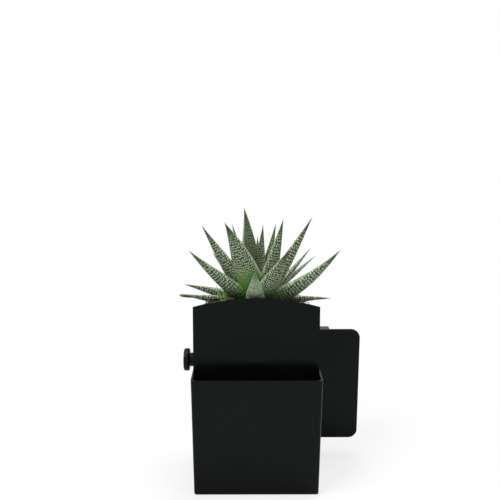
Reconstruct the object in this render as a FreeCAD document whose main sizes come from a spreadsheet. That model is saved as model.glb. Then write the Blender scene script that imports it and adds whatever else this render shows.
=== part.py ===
"""Wall planter of folded black sheet metal with a wedge pocket, a lift-out liner and a zebra haworthia.

Frame: millimetres, +Z up, +X to the right and +Y towards the wall. The origin is the centre of the
pot's flat base. The pocket faces -Y, and the wall is the plane behind the cleat.
"""
import FreeCAD, Part
import Sketcher
import math
import os

from FreeCAD import Placement, Rotation, Vector

os.makedirs("parts", exist_ok=True)
doc = FreeCAD.newDocument("WallPlanter")

# --------------------------------------------------------------------------------------------------
# Driving dimensions
# --------------------------------------------------------------------------------------------------

SIZES = (
    ("body_width", 90.0, "outer width of the pot and the pocket"),
    ("pot_depth", 59.0, "outer depth of the pot at its base"),
    ("rim_height", 92.0, "height of the pocket's rim"),
    ("arch_corner_height", 136.0, "height of the arched panel's top corners"),
    ("arch_rise", 6.2, "height of the arch over its corners"),
    ("arch_lean", 5.5, "angle of the arched panel, leaning back"),
    ("back_drop", 16.0, "pot's back wall below the arched panel's corners"),
    ("side_step", 1.0, "drop from the arched panel's corner to the side wall"),
    ("sheet_gauge", 1.2, "thickness of the folded sheet"),
    ("bend_radius", 1.8, "outer radius of the sheet's bends"),
    ("pocket_foot_depth", 2.66, "outer depth of the pocket at its foot"),
    ("pocket_lean", 6.5, "angle of the pocket's front, leaning out"),
    ("plate_gauge", 1.5, "thickness of the hanger plate"),
    ("plate_height", 92.0, "height of the hanger plate"),
    ("plate_foot_height", 12.5, "height of the hanger plate's lower edge"),
    ("plate_left_inset", 2.0, "hanger plate's left edge inside the pot's left side"),
    ("plate_wing", 37.5, "hanger plate's reach past the pot's right side"),
    ("plate_corner_radius", 7.0, "corner radius of the hanger plate"),
    ("hook_overhang", 11.75, "hook folded from the plate's top, past each end of the cleat"),
    ("hook_depth", 9.5, "depth of the hook over the plate's front"),
    ("hook_drop", 14.0, "height of the hook's lip"),
    ("cleat_gauge", 2.0, "thickness of the wall cleat"),
    ("cleat_side_gap", 1.5, "gap between the cleat's ends and the bumpers"),
    ("cleat_leg", 17.0, "height of the cleat's front leg"),
    ("cleat_base", 26.0, "height of the cleat's leg on the wall"),
    ("cleat_clearance", 0.3, "gap between the cleat's front leg and the hook's lip"),
    ("wall_gap", 1.0, "gap between the hook's lip and the wall"),
    ("cleat_hole_inset", 8.0, "cleat's screw holes from its ends"),
    ("cleat_hole_diameter", 4.5, "cleat's screw holes"),
    ("bumper_outset", 8.75, "right bumper past the pot's right side"),
    ("bumper_diameter", 11.0, "wall bumper"),
    ("bumper_bevel", 1.0, "height of the bevel at a bumper's tip"),
    ("bumper_screw_diameter", 3.0, "shank of a bumper screw"),
    ("bumper_screw_length", 7.5, "shank of a bumper screw under its head"),
    ("bumper_head_diameter", 6.5, "head of a bumper screw"),
    ("bumper_head_height", 2.2, "head of a bumper screw"),
    ("access_hole_diameter", 9.0, "hole in the back wall round a bumper screw's head"),
    ("rivet_diameter", 4.0, "shank of a back rivet"),
    ("rivet_head_diameter", 7.0, "head of a back rivet"),
    ("rivet_head_height", 1.0, "head of a back rivet"),
    ("rivet_tail_diameter", 6.0, "upset tail of a back rivet"),
    ("rivet_tail_height", 1.5, "upset tail of a back rivet"),
    ("rivet_inset_x", 13.0, "rivets inside the pot's sides"),
    ("rivet_inset_z", 11.0, "rivets inside the hanger plate's upper and lower edges"),
    ("knob_height", 93.2, "height of the thumb screw's axis"),
    ("knob_from_back", 35.0, "thumb screw's axis in front of the back wall's outer face"),
    ("knob_diameter", 16.5, "head of the thumb screw"),
    ("knob_thickness", 4.2, "head of the thumb screw"),
    ("knob_round", 1.3, "edge radius of the thumb screw's head"),
    ("boss_diameter", 10.0, "threaded boss outside the wall"),
    ("boss_length", 3.5, "threaded boss outside the wall"),
    ("boss_spigot_diameter", 7.0, "threaded boss where it passes through the wall"),
    ("boss_flange_diameter", 9.0, "riveted flange of the boss inside the wall"),
    ("boss_flange_thickness", 0.6, "riveted flange of the boss inside the wall"),
    ("seat_gap", 0.2, "gap between the thumb screw's head and the boss"),
    ("stud_diameter", 4.0, "thread of the thumb screw"),
    ("stud_seat", 2.6, "depth of the stud in the head"),
    ("thread_clearance", 0.05, "radial clearance of the thread in the boss"),
    ("pad_diameter", 8.0, "swivel pad on the stud's tip"),
    ("pad_thickness", 1.6, "swivel pad on the stud's tip"),
    ("pad_bevel", 0.4, "bevel of the swivel pad's outer edge"),
    ("pad_gap", 0.3, "gap between the swivel pad and the liner"),
    ("tip_diameter", 2.5, "tip of the stud in the pad"),
    ("tip_length", 1.0, "tip of the stud in the pad"),
    ("liner_side_room", 5.3, "room between the liner under its lip and the pot's side walls"),
    ("liner_draft", 1.0, "draft angle of the liner's walls"),
    ("liner_wall", 1.2, "thickness of the liner"),
    ("liner_rim_drop", 17.0, "liner's lip below the arched panel's corners"),
    ("liner_lip_thickness", 2.0, "thickness of the liner's lip"),
    ("liner_lip_gap", 0.8, "gap round the liner's lip"),
    ("liner_lip_overhang", 1.5, "liner's lip over its front and back walls"),
    ("liner_foot_height", 3.0, "feet under the liner"),
    ("liner_foot_diameter", 8.0, "feet under the liner"),
    ("liner_foot_inset", 10.0, "feet inside the liner's sides"),
    ("liner_foot_spacing", 18.0, "distance between the front and the back feet"),
    ("liner_corner_radius", 6.0, "corner radius of the liner"),
    ("drain_hole_diameter", 6.0, "drain holes in the liner's floor"),
    ("drain_spacing_x", 22.0, "distance between the left and the right drain holes"),
    ("drain_spacing_y", 14.0, "distance between the front and the back drain holes"),
    ("mound_height", 12.0, "soil heaped over the liner's lip"),
    ("mound_inset", 1.5, "soil inside the lip's outer edge"),
    ("mound_slope", 38.0, "angle of the mound's sides from upright"),
    ("mound_round", 5.0, "rounding of the mound's edges"),
    ("crown_radius", 9.0, "plant's crown at the soil"),
    ("crown_neck_radius", 4.5, "plant's crown at its top"),
    ("crown_height", 19.0, "plant's crown over the soil"),
    ("crown_right", 0.5, "plant's crown to the right of the pot's middle"),
    ("crown_from_back", 22.5, "plant's crown in front of the back wall's outer face"),
    ("leaf_root_height", 3.0, "lowest leaves' roots over the soil"),
    ("pup_left", 23.0, "pup to the left of the crown"),
    ("pup_from_mouth", 13.84, "pup behind the front edge of the liner's lip"),
    ("rosette_spread", 122.0, "width of the rosette over its longest leaves"),
    ("pup_root_depth", 1.5, "pup's root in the soil"),
)

sheet = doc.addObject("Spreadsheet::Sheet", "Sizes")
for row, (alias, value, meaning) in enumerate(SIZES, start=1):
    sheet.set(f"A{row}", meaning)
    sheet.set(f"B{row}", str(value))
    sheet.setAlias(f"B{row}", alias)
doc.recompute()


def size(alias):
    """Return a driving dimension as a number."""
    return float(getattr(sheet, alias))


# Places that several pieces share, written once as expressions of the sheet.
HALF_WIDTH = "(Sizes.body_width / 2)"
INNER_HALF = "(Sizes.body_width / 2 - Sizes.sheet_gauge)"
FOOT_Y = "(-Sizes.pot_depth / 2)"
BACK_Y = "(Sizes.pot_depth / 2)"
BACK_INNER_Y = "(Sizes.pot_depth / 2 - Sizes.sheet_gauge)"
LEAN = "tan(Sizes.arch_lean * 1deg)"
ARCH_SKIN = "(Sizes.sheet_gauge / cos(Sizes.arch_lean * 1deg))"
FRONT_SKIN = "(Sizes.sheet_gauge / cos(Sizes.pocket_lean * 1deg))"
ARCH_TOP = "(Sizes.arch_corner_height + Sizes.arch_rise)"
POCKET_FOOT_Y = f"({FOOT_Y} - Sizes.pocket_foot_depth)"
POCKET_RIM_Y = f"({POCKET_FOOT_Y} - Sizes.rim_height * tan(Sizes.pocket_lean * 1deg))"
BACK_HEIGHT = "(Sizes.arch_corner_height - Sizes.back_drop)"
PLATE_BACK_Y = f"({BACK_Y} + Sizes.plate_gauge)"
PLATE_TOP = "(Sizes.plate_foot_height + Sizes.plate_height)"
PLATE_LEFT_X = f"(Sizes.plate_left_inset - {HALF_WIDTH})"
PLATE_RIGHT_X = f"({HALF_WIDTH} + Sizes.plate_wing)"
PLATE_MIDDLE_X = f"(({PLATE_LEFT_X} + {PLATE_RIGHT_X}) / 2)"
PLATE_MIDDLE_Z = "(Sizes.plate_foot_height + Sizes.plate_height / 2)"
BUMPER_OFFSET = f"({HALF_WIDTH} + Sizes.bumper_outset - {PLATE_MIDDLE_X})"
CLEAT_HALF = f"({BUMPER_OFFSET} - Sizes.bumper_diameter / 2 - Sizes.cleat_side_gap)"
LIP_BACK_Y = f"({BACK_Y} + Sizes.hook_depth)"
LIP_FRONT_Y = f"({LIP_BACK_Y} - Sizes.plate_gauge)"
WALL_Y = f"({LIP_BACK_Y} + Sizes.wall_gap)"
CLEAT_FRONT_Y = f"({LIP_FRONT_Y} - Sizes.cleat_clearance - Sizes.cleat_gauge)"
CLEAT_TOP = f"({PLATE_TOP} - Sizes.plate_gauge)"
CLEAT_STEP = f"({CLEAT_TOP} - Sizes.cleat_leg)"
CLEAT_FOOT = f"({CLEAT_STEP} + Sizes.cleat_gauge - Sizes.cleat_base)"
LINER_RIM = "(Sizes.arch_corner_height - Sizes.liner_rim_drop)"
LIP_UNDERSIDE = f"({LINER_RIM} - Sizes.liner_lip_thickness)"
LIP_MOUTH_Y = f"({FOOT_Y} + {ARCH_TOP} * {LEAN} + {ARCH_SKIN} + Sizes.liner_lip_gap)"
LIP_REAR_Y = f"({BACK_INNER_Y} - Sizes.liner_lip_gap)"
LIP_HALF = f"({INNER_HALF} - Sizes.liner_lip_gap)"
LINER_FOOT = "(Sizes.sheet_gauge + Sizes.liner_foot_height)"
LINER_HALF = f"({INNER_HALF} - Sizes.liner_side_room)"
KNOB_Y = f"({BACK_Y} - Sizes.knob_from_back)"
SOIL_TOP = f"({LINER_RIM} + Sizes.mound_height)"
CROWN_Y = f"({BACK_Y} - Sizes.crown_from_back)"
DRAFT = "tan(Sizes.liner_draft * 1deg)"


# --------------------------------------------------------------------------------------------------
# Building blocks
# --------------------------------------------------------------------------------------------------

def number(expression):
    """Return the value of an expression of the sheet."""
    value = sheet.evalExpression(expression)
    return float(getattr(value, "Value", value))


def bind(item, **expressions):
    """Bind properties of an object to expressions. A double underscore in a name stands for a dot."""
    for name, expression in expressions.items():
        item.setExpression(name.replace("__", "."), expression)
    return item


def place(item, x="0", y="0", z="0", turn=None):
    """Set an object down at a bound position, turned by a fixed rotation."""
    if turn is not None:
        item.Placement = Placement(Vector(), turn)
    return bind(item, Placement__Base__x=x, Placement__Base__y=y, Placement__Base__z=z)


def new_body(name):
    """Start a body whose label is the sub-part's name."""
    item = doc.addObject("PartDesign::Body", name)
    item.Label = name
    return item


def sketch_on(body, role, name):
    """Attach a new sketch to one of the body's own origin planes."""
    sketch = body.newObject("Sketcher::SketchObject", name)
    support = next(item for item in body.Origin.OriginFeatures if item.Role == role)
    sketch.AttachmentSupport = [(support, "")]
    sketch.MapMode = "FlatFace"
    return sketch


def pin_vertex(sketch, line, end, x, y, tag):
    """Bind both coordinates of a line's end to expressions."""
    for kind, expression in (("DistanceX", x), ("DistanceY", y)):
        name = f"{kind}_{tag}"
        index = sketch.addConstraint(Sketcher.Constraint(kind, line, end, number(expression)))
        sketch.renameConstraint(index, name)
        sketch.setExpression(f"Constraints.{name}", expression)


def polygon(sketch, corners):
    """Draw a closed outline whose corners are pairs of expressions."""
    count = len(corners)
    points = [Vector(number(x), number(y), 0) for x, y in corners]
    for k in range(count):
        sketch.addGeometry(Part.LineSegment(points[k], points[(k + 1) % count]))
    for k in range(count):
        sketch.addConstraint(Sketcher.Constraint("Coincident", k, 2, (k + 1) % count, 1))
    for k, (x, y) in enumerate(corners):
        pin_vertex(sketch, k, 1, x, y, f"p{k}")


def rectangle(sketch, low_x, high_x, low_y, high_y):
    """Draw a rectangle between bound limits."""
    polygon(sketch, ((low_x, low_y), (high_x, low_y), (high_x, high_y), (low_x, high_y)))


def pad(body, sketch, name, length, centred=True, taper=None):
    """Extrude a sketch by a bound length, on both sides of it or upwards."""
    feature = body.newObject("PartDesign::Pad", name)
    feature.Profile = sketch
    feature.Midplane = centred
    bind(feature, Length=length)
    if taper is not None:
        bind(feature, TaperAngle=taper)
    return feature


def pocket(body, sketch, name, length):
    """Cut a sketch through the body by a bound length, on both sides of its plane."""
    doc.recompute()
    before = body.Shape.Volume
    feature = body.newObject("PartDesign::Pocket", name)
    feature.Profile = sketch
    feature.Midplane = True
    bind(feature, Length=length)
    doc.recompute()
    if not body.Shape.Volume < before:
        raise ValueError(f"{name} cuts nothing")
    return feature


def straight(test):
    """Turn a test of two end points into a test of an edge."""
    return lambda edge: len(edge.Vertexes) == 2 and test(edge.Vertexes[0].Point, edge.Vertexes[1].Point)


def round_edges(body, name, chosen, radius):
    """Fillet the body's edges that are chosen by a test with a bound radius."""
    doc.recompute()
    base = body.Tip
    names = [f"Edge{number}" for number, edge in enumerate(base.Shape.Edges, start=1) if chosen(edge)]
    feature = body.newObject("PartDesign::Fillet", name)
    feature.Base = (base, names)
    bind(feature, Radius=radius)
    return feature


def turned(name, stations):
    """Revolve a profile of (distance, radius) stations about the X axis.

    The first and the last station close on the axis.
    """
    body = new_body(name)
    sketch = sketch_on(body, "XY_Plane", f"{name}_profile")
    first, last = stations[0][0], stations[-1][0]
    polygon(sketch, ((first, "0"), *stations, (last, "0")))
    feature = body.newObject("PartDesign::Revolution", f"{name}_turn")
    feature.Profile = sketch
    feature.ReferenceAxis = (sketch, ["H_Axis"])
    feature.Angle = 360
    return body


def cylinder(name, diameter, length):
    """Make a cylinder along +Z with bound sizes."""
    item = doc.addObject("Part::Cylinder", name)
    return bind(item, Radius=f"{diameter} / 2", Height=length)


def cut(name, base, tools):
    """Cut one or more tools from a base and label the result."""
    if len(tools) == 1:
        tool = tools[0]
    else:
        tool = doc.addObject("Part::MultiFuse", f"{name}_tools")
        tool.Shapes = tools
    item = doc.addObject("Part::Cut", name)
    item.Base = base
    item.Tool = tool
    item.Label = name
    return item


def fuse(name, shapes):
    """Join overlapping shapes into one solid and label it."""
    item = doc.addObject("Part::MultiFuse", name)
    item.Shapes = shapes
    item.Label = name
    return item


def group(name, members):
    """Gather separate identical solids in one labelled sub-part."""
    item = doc.addObject("Part::Compound", name)
    item.Links = members
    item.Label = name
    return item


TOUCH = 0.01
TIGHT_BEND = 0.9
ALONG_Y = Rotation(Vector(0, 0, 1), 90)
DRILL_Y = Rotation(Vector(1, 0, 0), -90)
DRILL_X = Rotation(Vector(0, 1, 0), 90)


# --------------------------------------------------------------------------------------------------
# Pot: arched front panel, folded side and back walls, floor
# --------------------------------------------------------------------------------------------------

def make_arch_panel():
    """Make the leaning front sheet of the pot, cut to an arch at its top."""
    slab = new_body("arch_slab")
    sketch = sketch_on(slab, "YZ_Plane", "arch_slab_section")
    top_y = f"{FOOT_Y} + {ARCH_TOP} * {LEAN}"
    polygon(sketch, (
        (FOOT_Y, "0"),
        (f"{FOOT_Y} + {ARCH_SKIN}", "0"),
        (f"{top_y} + {ARCH_SKIN}", ARCH_TOP),
        (top_y, ARCH_TOP),
    ))
    pad(slab, sketch, "arch_slab_pad", "Sizes.body_width")

    outline = new_body("arch_outline")
    sketch = sketch_on(outline, "XZ_Plane", "arch_outline_face")
    half, corner, rise = size("body_width") / 2, size("arch_corner_height"), size("arch_rise")
    radius = (half ** 2 + rise ** 2) / (2 * rise)
    spread = math.asin(half / radius)
    feet = (Vector(-half, 0, 0), Vector(half, 0, 0))
    shoulders = (Vector(-half, corner, 0), Vector(half, corner, 0))
    circle = Part.Circle(Vector(0, corner + rise - radius, 0), Vector(0, 0, 1), radius)
    arc = Part.ArcOfCircle(circle, math.pi / 2 - spread, math.pi / 2 + spread)
    sketch.addGeometry(Part.LineSegment(shoulders[0], feet[0]))
    sketch.addGeometry(Part.LineSegment(feet[0], feet[1]))
    sketch.addGeometry(Part.LineSegment(feet[1], shoulders[1]))
    sketch.addGeometry(arc)
    for first, second in ((0, 1), (1, 2)):
        sketch.addConstraint(Sketcher.Constraint("Coincident", first, 2, second, 1))
    sketch.addConstraint(Sketcher.Constraint("Coincident", 2, 2, 3, 1))
    sketch.addConstraint(Sketcher.Constraint("Coincident", 3, 2, 0, 1))
    pin_vertex(sketch, 0, 1, f"-{HALF_WIDTH}", "Sizes.arch_corner_height", "left_shoulder")
    pin_vertex(sketch, 1, 1, f"-{HALF_WIDTH}", "0", "left_foot")
    pin_vertex(sketch, 2, 1, HALF_WIDTH, "0", "right_foot")
    pin_vertex(sketch, 2, 2, HALF_WIDTH, "Sizes.arch_corner_height", "right_shoulder")
    index = sketch.addConstraint(Sketcher.Constraint("Radius", 3, radius))
    sketch.renameConstraint(index, "arch_radius")
    sketch.setExpression(
        "Constraints.arch_radius",
        f"({HALF_WIDTH} ^ 2 + Sizes.arch_rise ^ 2) / (2 * Sizes.arch_rise)",
    )
    pad(outline, sketch, "arch_outline_pad", "2 * Sizes.pot_depth")

    panel = doc.addObject("Part::Common", "arch_panel")
    panel.Base = slab
    panel.Tool = outline
    panel.Label = "arch_panel"
    return panel


def rivet_places():
    """List the (x, z) expressions of the four rivets in the back wall."""
    return [
        (f"{sign_x} * ({HALF_WIDTH} - Sizes.rivet_inset_x)",
         f"{PLATE_MIDDLE_Z} + {sign_z} * (Sizes.plate_height / 2 - Sizes.rivet_inset_z)")
        for sign_x in (-1, 1) for sign_z in (-1, 1)
    ]


def bumper_places():
    """List the (x, z) expressions of the two wall bumpers on the hanger plate."""
    return [(f"{PLATE_MIDDLE_X} + {sign} * {BUMPER_OFFSET}", PLATE_MIDDLE_Z) for sign in (-1, 1)]


def drilled_back(name, diameter, places):
    """Make drills along Y, long enough for the back wall and the hanger plate together."""
    drills = []
    for number, (x, z) in enumerate(places, start=1):
        drill = cylinder(f"{name}_{number}", diameter, "4 * (Sizes.sheet_gauge + Sizes.plate_gauge)")
        drills.append(place(drill, x, f"{BACK_Y} - 2 * (Sizes.sheet_gauge + Sizes.plate_gauge)", z, DRILL_Y))
    return drills


def make_pot_body():
    """Make the sheet folded to the left, back and right walls, with its holes."""
    walls = new_body("pot_walls")
    sketch = sketch_on(walls, "YZ_Plane", "pot_walls_side")
    side_top = "(Sizes.arch_corner_height - Sizes.side_step)"
    polygon(sketch, (
        (f"{FOOT_Y} + {ARCH_SKIN}", "0"),
        (BACK_Y, "0"),
        (BACK_Y, BACK_HEIGHT),
        (f"{FOOT_Y} + {ARCH_SKIN} + {side_top} * {LEAN}", side_top),
    ))
    pad(walls, sketch, "pot_walls_pad", "Sizes.body_width")
    back = number(BACK_Y)

    def is_back_corner(first, second):
        upright = abs(first.z - second.z) > number(BACK_HEIGHT) / 2
        return upright and abs(first.y - back) < TOUCH and abs(second.y - back) < TOUCH

    round_edges(walls, "pot_walls_bends", straight(is_back_corner), "Sizes.bend_radius")
    sketch = sketch_on(walls, "XY_Plane", "pot_walls_inside")
    rectangle(sketch, f"-{INNER_HALF}", INNER_HALF, "-Sizes.pot_depth", BACK_INNER_Y)
    pocket(walls, sketch, "pot_walls_hollow", "4 * Sizes.arch_corner_height")

    boss_hole = cylinder("boss_hole", "Sizes.boss_spigot_diameter", "4 * Sizes.sheet_gauge")
    place(boss_hole, f"-{HALF_WIDTH} - Sizes.sheet_gauge", KNOB_Y, "Sizes.knob_height", DRILL_X)
    tools = [boss_hole]
    tools += drilled_back("wall_rivet_hole", "Sizes.rivet_diameter", rivet_places())
    tools += drilled_back("access_hole", "Sizes.access_hole_diameter", bumper_places()[:1])
    return cut("pot_body", walls, tools)


def make_pot_floor():
    """Make the floor between the arched panel and the walls."""
    floor = new_body("pot_floor")
    sketch = sketch_on(floor, "YZ_Plane", "pot_floor_section")
    polygon(sketch, (
        (f"{FOOT_Y} + {ARCH_SKIN}", "0"),
        (BACK_INNER_Y, "0"),
        (BACK_INNER_Y, "Sizes.sheet_gauge"),
        (f"{FOOT_Y} + {ARCH_SKIN} + Sizes.sheet_gauge * {LEAN}", "Sizes.sheet_gauge"),
    ))
    pad(floor, sketch, "pot_floor_pad", f"2 * {INNER_HALF}")
    return floor


def make_pocket_front():
    """Make the wedge pocket: a leaning front, two cheeks and the fold at its foot."""
    front = new_body("pocket_front")
    sketch = sketch_on(front, "YZ_Plane", "pocket_side")
    polygon(sketch, (
        (POCKET_FOOT_Y, "0"),
        (FOOT_Y, "0"),
        (f"{FOOT_Y} + Sizes.rim_height * {LEAN}", "Sizes.rim_height"),
        (POCKET_RIM_Y, "Sizes.rim_height"),
    ))
    pad(front, sketch, "pocket_pad", "Sizes.body_width")
    half, rim = size("body_width") / 2, size("rim_height")
    foot = -size("pot_depth") / 2

    def is_front_bend(first, second):
        ahead = first.y < foot and second.y < foot
        return ahead and abs(first.z - second.z) > rim / 2 and abs(abs(first.x) - half) < TOUCH

    def is_foot_corner(first, second):
        low = abs(first.z) < TOUCH and abs(second.z) < TOUCH
        return low and abs(first.x - second.x) < TOUCH

    round_edges(front, "pocket_bends", straight(is_front_bend), "Sizes.bend_radius")
    round_edges(front, "pocket_foot_corners", straight(is_foot_corner), f"Sizes.bend_radius * {TIGHT_BEND}")
    sketch = sketch_on(front, "YZ_Plane", "pocket_inside")
    slope = "tan(Sizes.pocket_lean * 1deg)"
    over = "2 * Sizes.rim_height"
    polygon(sketch, (
        (f"{POCKET_FOOT_Y} + {FRONT_SKIN} - Sizes.sheet_gauge * {slope}", "Sizes.sheet_gauge"),
        (f"{FOOT_Y} + {over} * {LEAN}", "Sizes.sheet_gauge"),
        (f"{FOOT_Y} + {over} * {LEAN}", over),
        (f"{POCKET_FOOT_Y} + {FRONT_SKIN} - {over} * {slope}", over),
    ))
    pocket(front, sketch, "pocket_hollow", f"2 * {INNER_HALF}")
    return front


# --------------------------------------------------------------------------------------------------
# Hanging: plate with hook, rivets, bumpers with screws, wall cleat
# --------------------------------------------------------------------------------------------------

# Domed heads as (share of the height, share of the radius), from the top down to the seat.
RIVET_DOME = ((1.0, 0.7), (0.5, 0.93), (0.0, 1.0))
SCREW_DOME = ((1.0, 0.62), (0.72, 0.88), (0.35, 1.0), (0.0, 1.0))
# Shares of the radius that are left at the bumper's bevel, at its tip and at a rivet's upset tail.
BUMPER_TAPER = (0.94, 0.8)
TAIL_TAPER = 0.8


def domed_head(prefix, dome):
    """List the (distance, radius) stations of a domed head whose seat is at zero."""
    return [
        (f"-Sizes.{prefix}_height * {up}", f"Sizes.{prefix}_diameter / 2 * {across}")
        for up, across in dome
    ]


def make_hanger_plate():
    """Make the rounded plate with the hook folded back from its top edge."""
    plate = new_body("plate_blank")
    sketch = sketch_on(plate, "XZ_Plane", "plate_face")
    rectangle(sketch, PLATE_LEFT_X, PLATE_RIGHT_X, "Sizes.plate_foot_height", PLATE_TOP)
    bind(sketch, AttachmentOffset__Base__z=f"-{BACK_Y} - Sizes.plate_gauge / 2")
    pad(plate, sketch, "plate_pad", "Sizes.plate_gauge")
    gauge = size("plate_gauge")

    def is_corner(first, second):
        across = abs(abs(first.y - second.y) - gauge) < TOUCH
        return across and abs(first.x - second.x) < TOUCH and abs(first.z - second.z) < TOUCH

    round_edges(plate, "plate_corners", straight(is_corner), "Sizes.plate_corner_radius")

    hook = new_body("hook")
    sketch = sketch_on(hook, "YZ_Plane", "hook_section")
    lip_foot = f"{PLATE_TOP} - Sizes.hook_drop"
    polygon(sketch, (
        (BACK_Y, lip_foot),
        (PLATE_BACK_Y, lip_foot),
        (PLATE_BACK_Y, CLEAT_TOP),
        (LIP_FRONT_Y, CLEAT_TOP),
        (LIP_FRONT_Y, lip_foot),
        (LIP_BACK_Y, lip_foot),
        (LIP_BACK_Y, PLATE_TOP),
        (BACK_Y, PLATE_TOP),
    ))
    bind(sketch, AttachmentOffset__Base__z=PLATE_MIDDLE_X)
    pad(hook, sketch, "hook_pad", f"2 * ({CLEAT_HALF} + Sizes.hook_overhang)")
    lip_back = number(LIP_BACK_Y)
    top = number(PLATE_TOP)

    def is_hook_bend(first, second):
        on_top = abs(first.z - top) < TOUCH and abs(second.z - top) < TOUCH
        return on_top and abs(first.y - lip_back) < TOUCH and abs(second.y - lip_back) < TOUCH

    round_edges(hook, "hook_bend", straight(is_hook_bend), f"Sizes.plate_gauge * {TIGHT_BEND}")
    joined = fuse("plate_with_hook", [plate, hook])
    tools = drilled_back("plate_rivet_hole", "Sizes.rivet_diameter", rivet_places())
    tools += drilled_back("bumper_screw_hole", "Sizes.bumper_screw_diameter", bumper_places())
    return cut("hanger_plate", joined, tools)


def make_back_rivets():
    """Make the four rivets that hold the hanger plate to the back wall."""
    grip = "(Sizes.sheet_gauge + Sizes.plate_gauge)"
    rivets = []
    for number, (x, z) in enumerate(rivet_places(), start=1):
        rivet = turned(f"back_rivet_{number}", (
            *domed_head("rivet_head", RIVET_DOME),
            ("0", "Sizes.rivet_diameter / 2"),
            (grip, "Sizes.rivet_diameter / 2"),
            (grip, "Sizes.rivet_tail_diameter / 2"),
            (f"{grip} + Sizes.rivet_tail_height", f"Sizes.rivet_tail_diameter / 2 * {TAIL_TAPER}"),
        ))
        rivets.append(place(rivet, x, BACK_INNER_Y, z, ALONG_Y))
    return group("back_rivets", rivets)


def make_wall_bumpers():
    """Make the two rubber bumpers between the hanger plate and the wall."""
    height = f"({WALL_Y} - {PLATE_BACK_Y})"
    screw_end = "(Sizes.bumper_screw_length - Sizes.plate_gauge)"
    bumpers = []
    for number, (x, z) in enumerate(bumper_places(), start=1):
        bumper = turned(f"wall_bumper_{number}", (
            ("0", "Sizes.bumper_diameter / 2"),
            (f"{height} - Sizes.bumper_bevel", f"Sizes.bumper_diameter / 2 * {BUMPER_TAPER[0]}"),
            (height, f"Sizes.bumper_diameter / 2 * {BUMPER_TAPER[1]}"),
        ))
        place(bumper, x, PLATE_BACK_Y, z, ALONG_Y)
        bore = cylinder(f"bumper_bore_{number}", "Sizes.bumper_screw_diameter", f"2 * {screw_end}")
        place(bore, x, f"{PLATE_BACK_Y} - {screw_end}", z, DRILL_Y)
        bumpers.append(cut(f"bored_bumper_{number}", bumper, [bore]))
    return group("wall_bumpers", bumpers)


def make_bumper_screws():
    """Make the two pan-head screws that hold the bumpers, driven from the front of the plate."""
    screws = []
    for number, (x, z) in enumerate(bumper_places(), start=1):
        screw = turned(f"bumper_screw_{number}", (
            *domed_head("bumper_head", SCREW_DOME),
            ("0", "Sizes.bumper_screw_diameter / 2"),
            ("Sizes.bumper_screw_length", "Sizes.bumper_screw_diameter / 2"),
        ))
        screws.append(place(screw, x, BACK_Y, z, ALONG_Y))
    return group("bumper_screws", screws)


def make_wall_cleat():
    """Make the stepped strip that is screwed to the wall and carries the hook."""
    strip = new_body("cleat_strip")
    sketch = sketch_on(strip, "YZ_Plane", "cleat_section")
    leg_back = f"{CLEAT_FRONT_Y} + Sizes.cleat_gauge"
    base_front = f"{WALL_Y} - Sizes.cleat_gauge"
    step_top = f"{CLEAT_STEP} + Sizes.cleat_gauge"
    polygon(sketch, (
        (CLEAT_FRONT_Y, CLEAT_STEP),
        (base_front, CLEAT_STEP),
        (base_front, CLEAT_FOOT),
        (WALL_Y, CLEAT_FOOT),
        (WALL_Y, step_top),
        (leg_back, step_top),
        (leg_back, CLEAT_TOP),
        (CLEAT_FRONT_Y, CLEAT_TOP),
    ))
    bind(sketch, AttachmentOffset__Base__z=PLATE_MIDDLE_X)
    pad(strip, sketch, "cleat_pad", f"2 * {CLEAT_HALF}")
    drills = []
    for sign in (-1, 1):
        drill = cylinder(f"cleat_hole_{'left' if sign < 0 else 'right'}", "Sizes.cleat_hole_diameter",
                         "4 * Sizes.cleat_gauge")
        drills.append(place(
            drill,
            f"{PLATE_MIDDLE_X} + {sign} * ({CLEAT_HALF} - Sizes.cleat_hole_inset)",
            f"{WALL_Y} - 3 * Sizes.cleat_gauge",
            f"{CLEAT_FOOT} + Sizes.cleat_base / 2",
            DRILL_Y,
        ))
    return cut("wall_cleat", strip, drills)


# --------------------------------------------------------------------------------------------------
# Thumb screw on the left wall, with its threaded boss and swivel pad
# --------------------------------------------------------------------------------------------------

WALL_FACE_X = f"(-{HALF_WIDTH})"
HEAD_INNER_X = f"({WALL_FACE_X} - Sizes.boss_length - Sizes.seat_gap)"
LINER_SIDE_X = f"(({LIP_UNDERSIDE} - Sizes.knob_height) * {DRAFT} - {LINER_HALF})"
PAD_INNER_X = f"({LINER_SIDE_X} - Sizes.pad_gap)"
PAD_OUTER_X = f"({PAD_INNER_X} - Sizes.pad_thickness)"


def at_knob(item):
    """Set a turned piece on the thumb screw's axis."""
    return place(item, "0", KNOB_Y, "Sizes.knob_height")


def make_clamp_nut():
    """Make the threaded boss that is riveted into the left wall."""
    inner_face = f"({WALL_FACE_X} + Sizes.sheet_gauge)"
    boss = turned("boss_blank", (
        (f"{WALL_FACE_X} - Sizes.boss_length", "Sizes.boss_diameter / 2"),
        (WALL_FACE_X, "Sizes.boss_diameter / 2"),
        (WALL_FACE_X, "Sizes.boss_spigot_diameter / 2"),
        (inner_face, "Sizes.boss_spigot_diameter / 2"),
        (inner_face, "Sizes.boss_flange_diameter / 2"),
        (f"{inner_face} + Sizes.boss_flange_thickness", "Sizes.boss_flange_diameter / 2"),
    ))
    at_knob(boss)
    bore = cylinder("boss_bore", "(Sizes.stud_diameter + 2 * Sizes.thread_clearance)",
                    "4 * (Sizes.boss_length + Sizes.sheet_gauge)")
    place(bore, f"{WALL_FACE_X} - 2 * (Sizes.boss_length + Sizes.sheet_gauge)",
          KNOB_Y, "Sizes.knob_height", DRILL_X)
    return cut("clamp_nut", boss, [bore])


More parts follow.
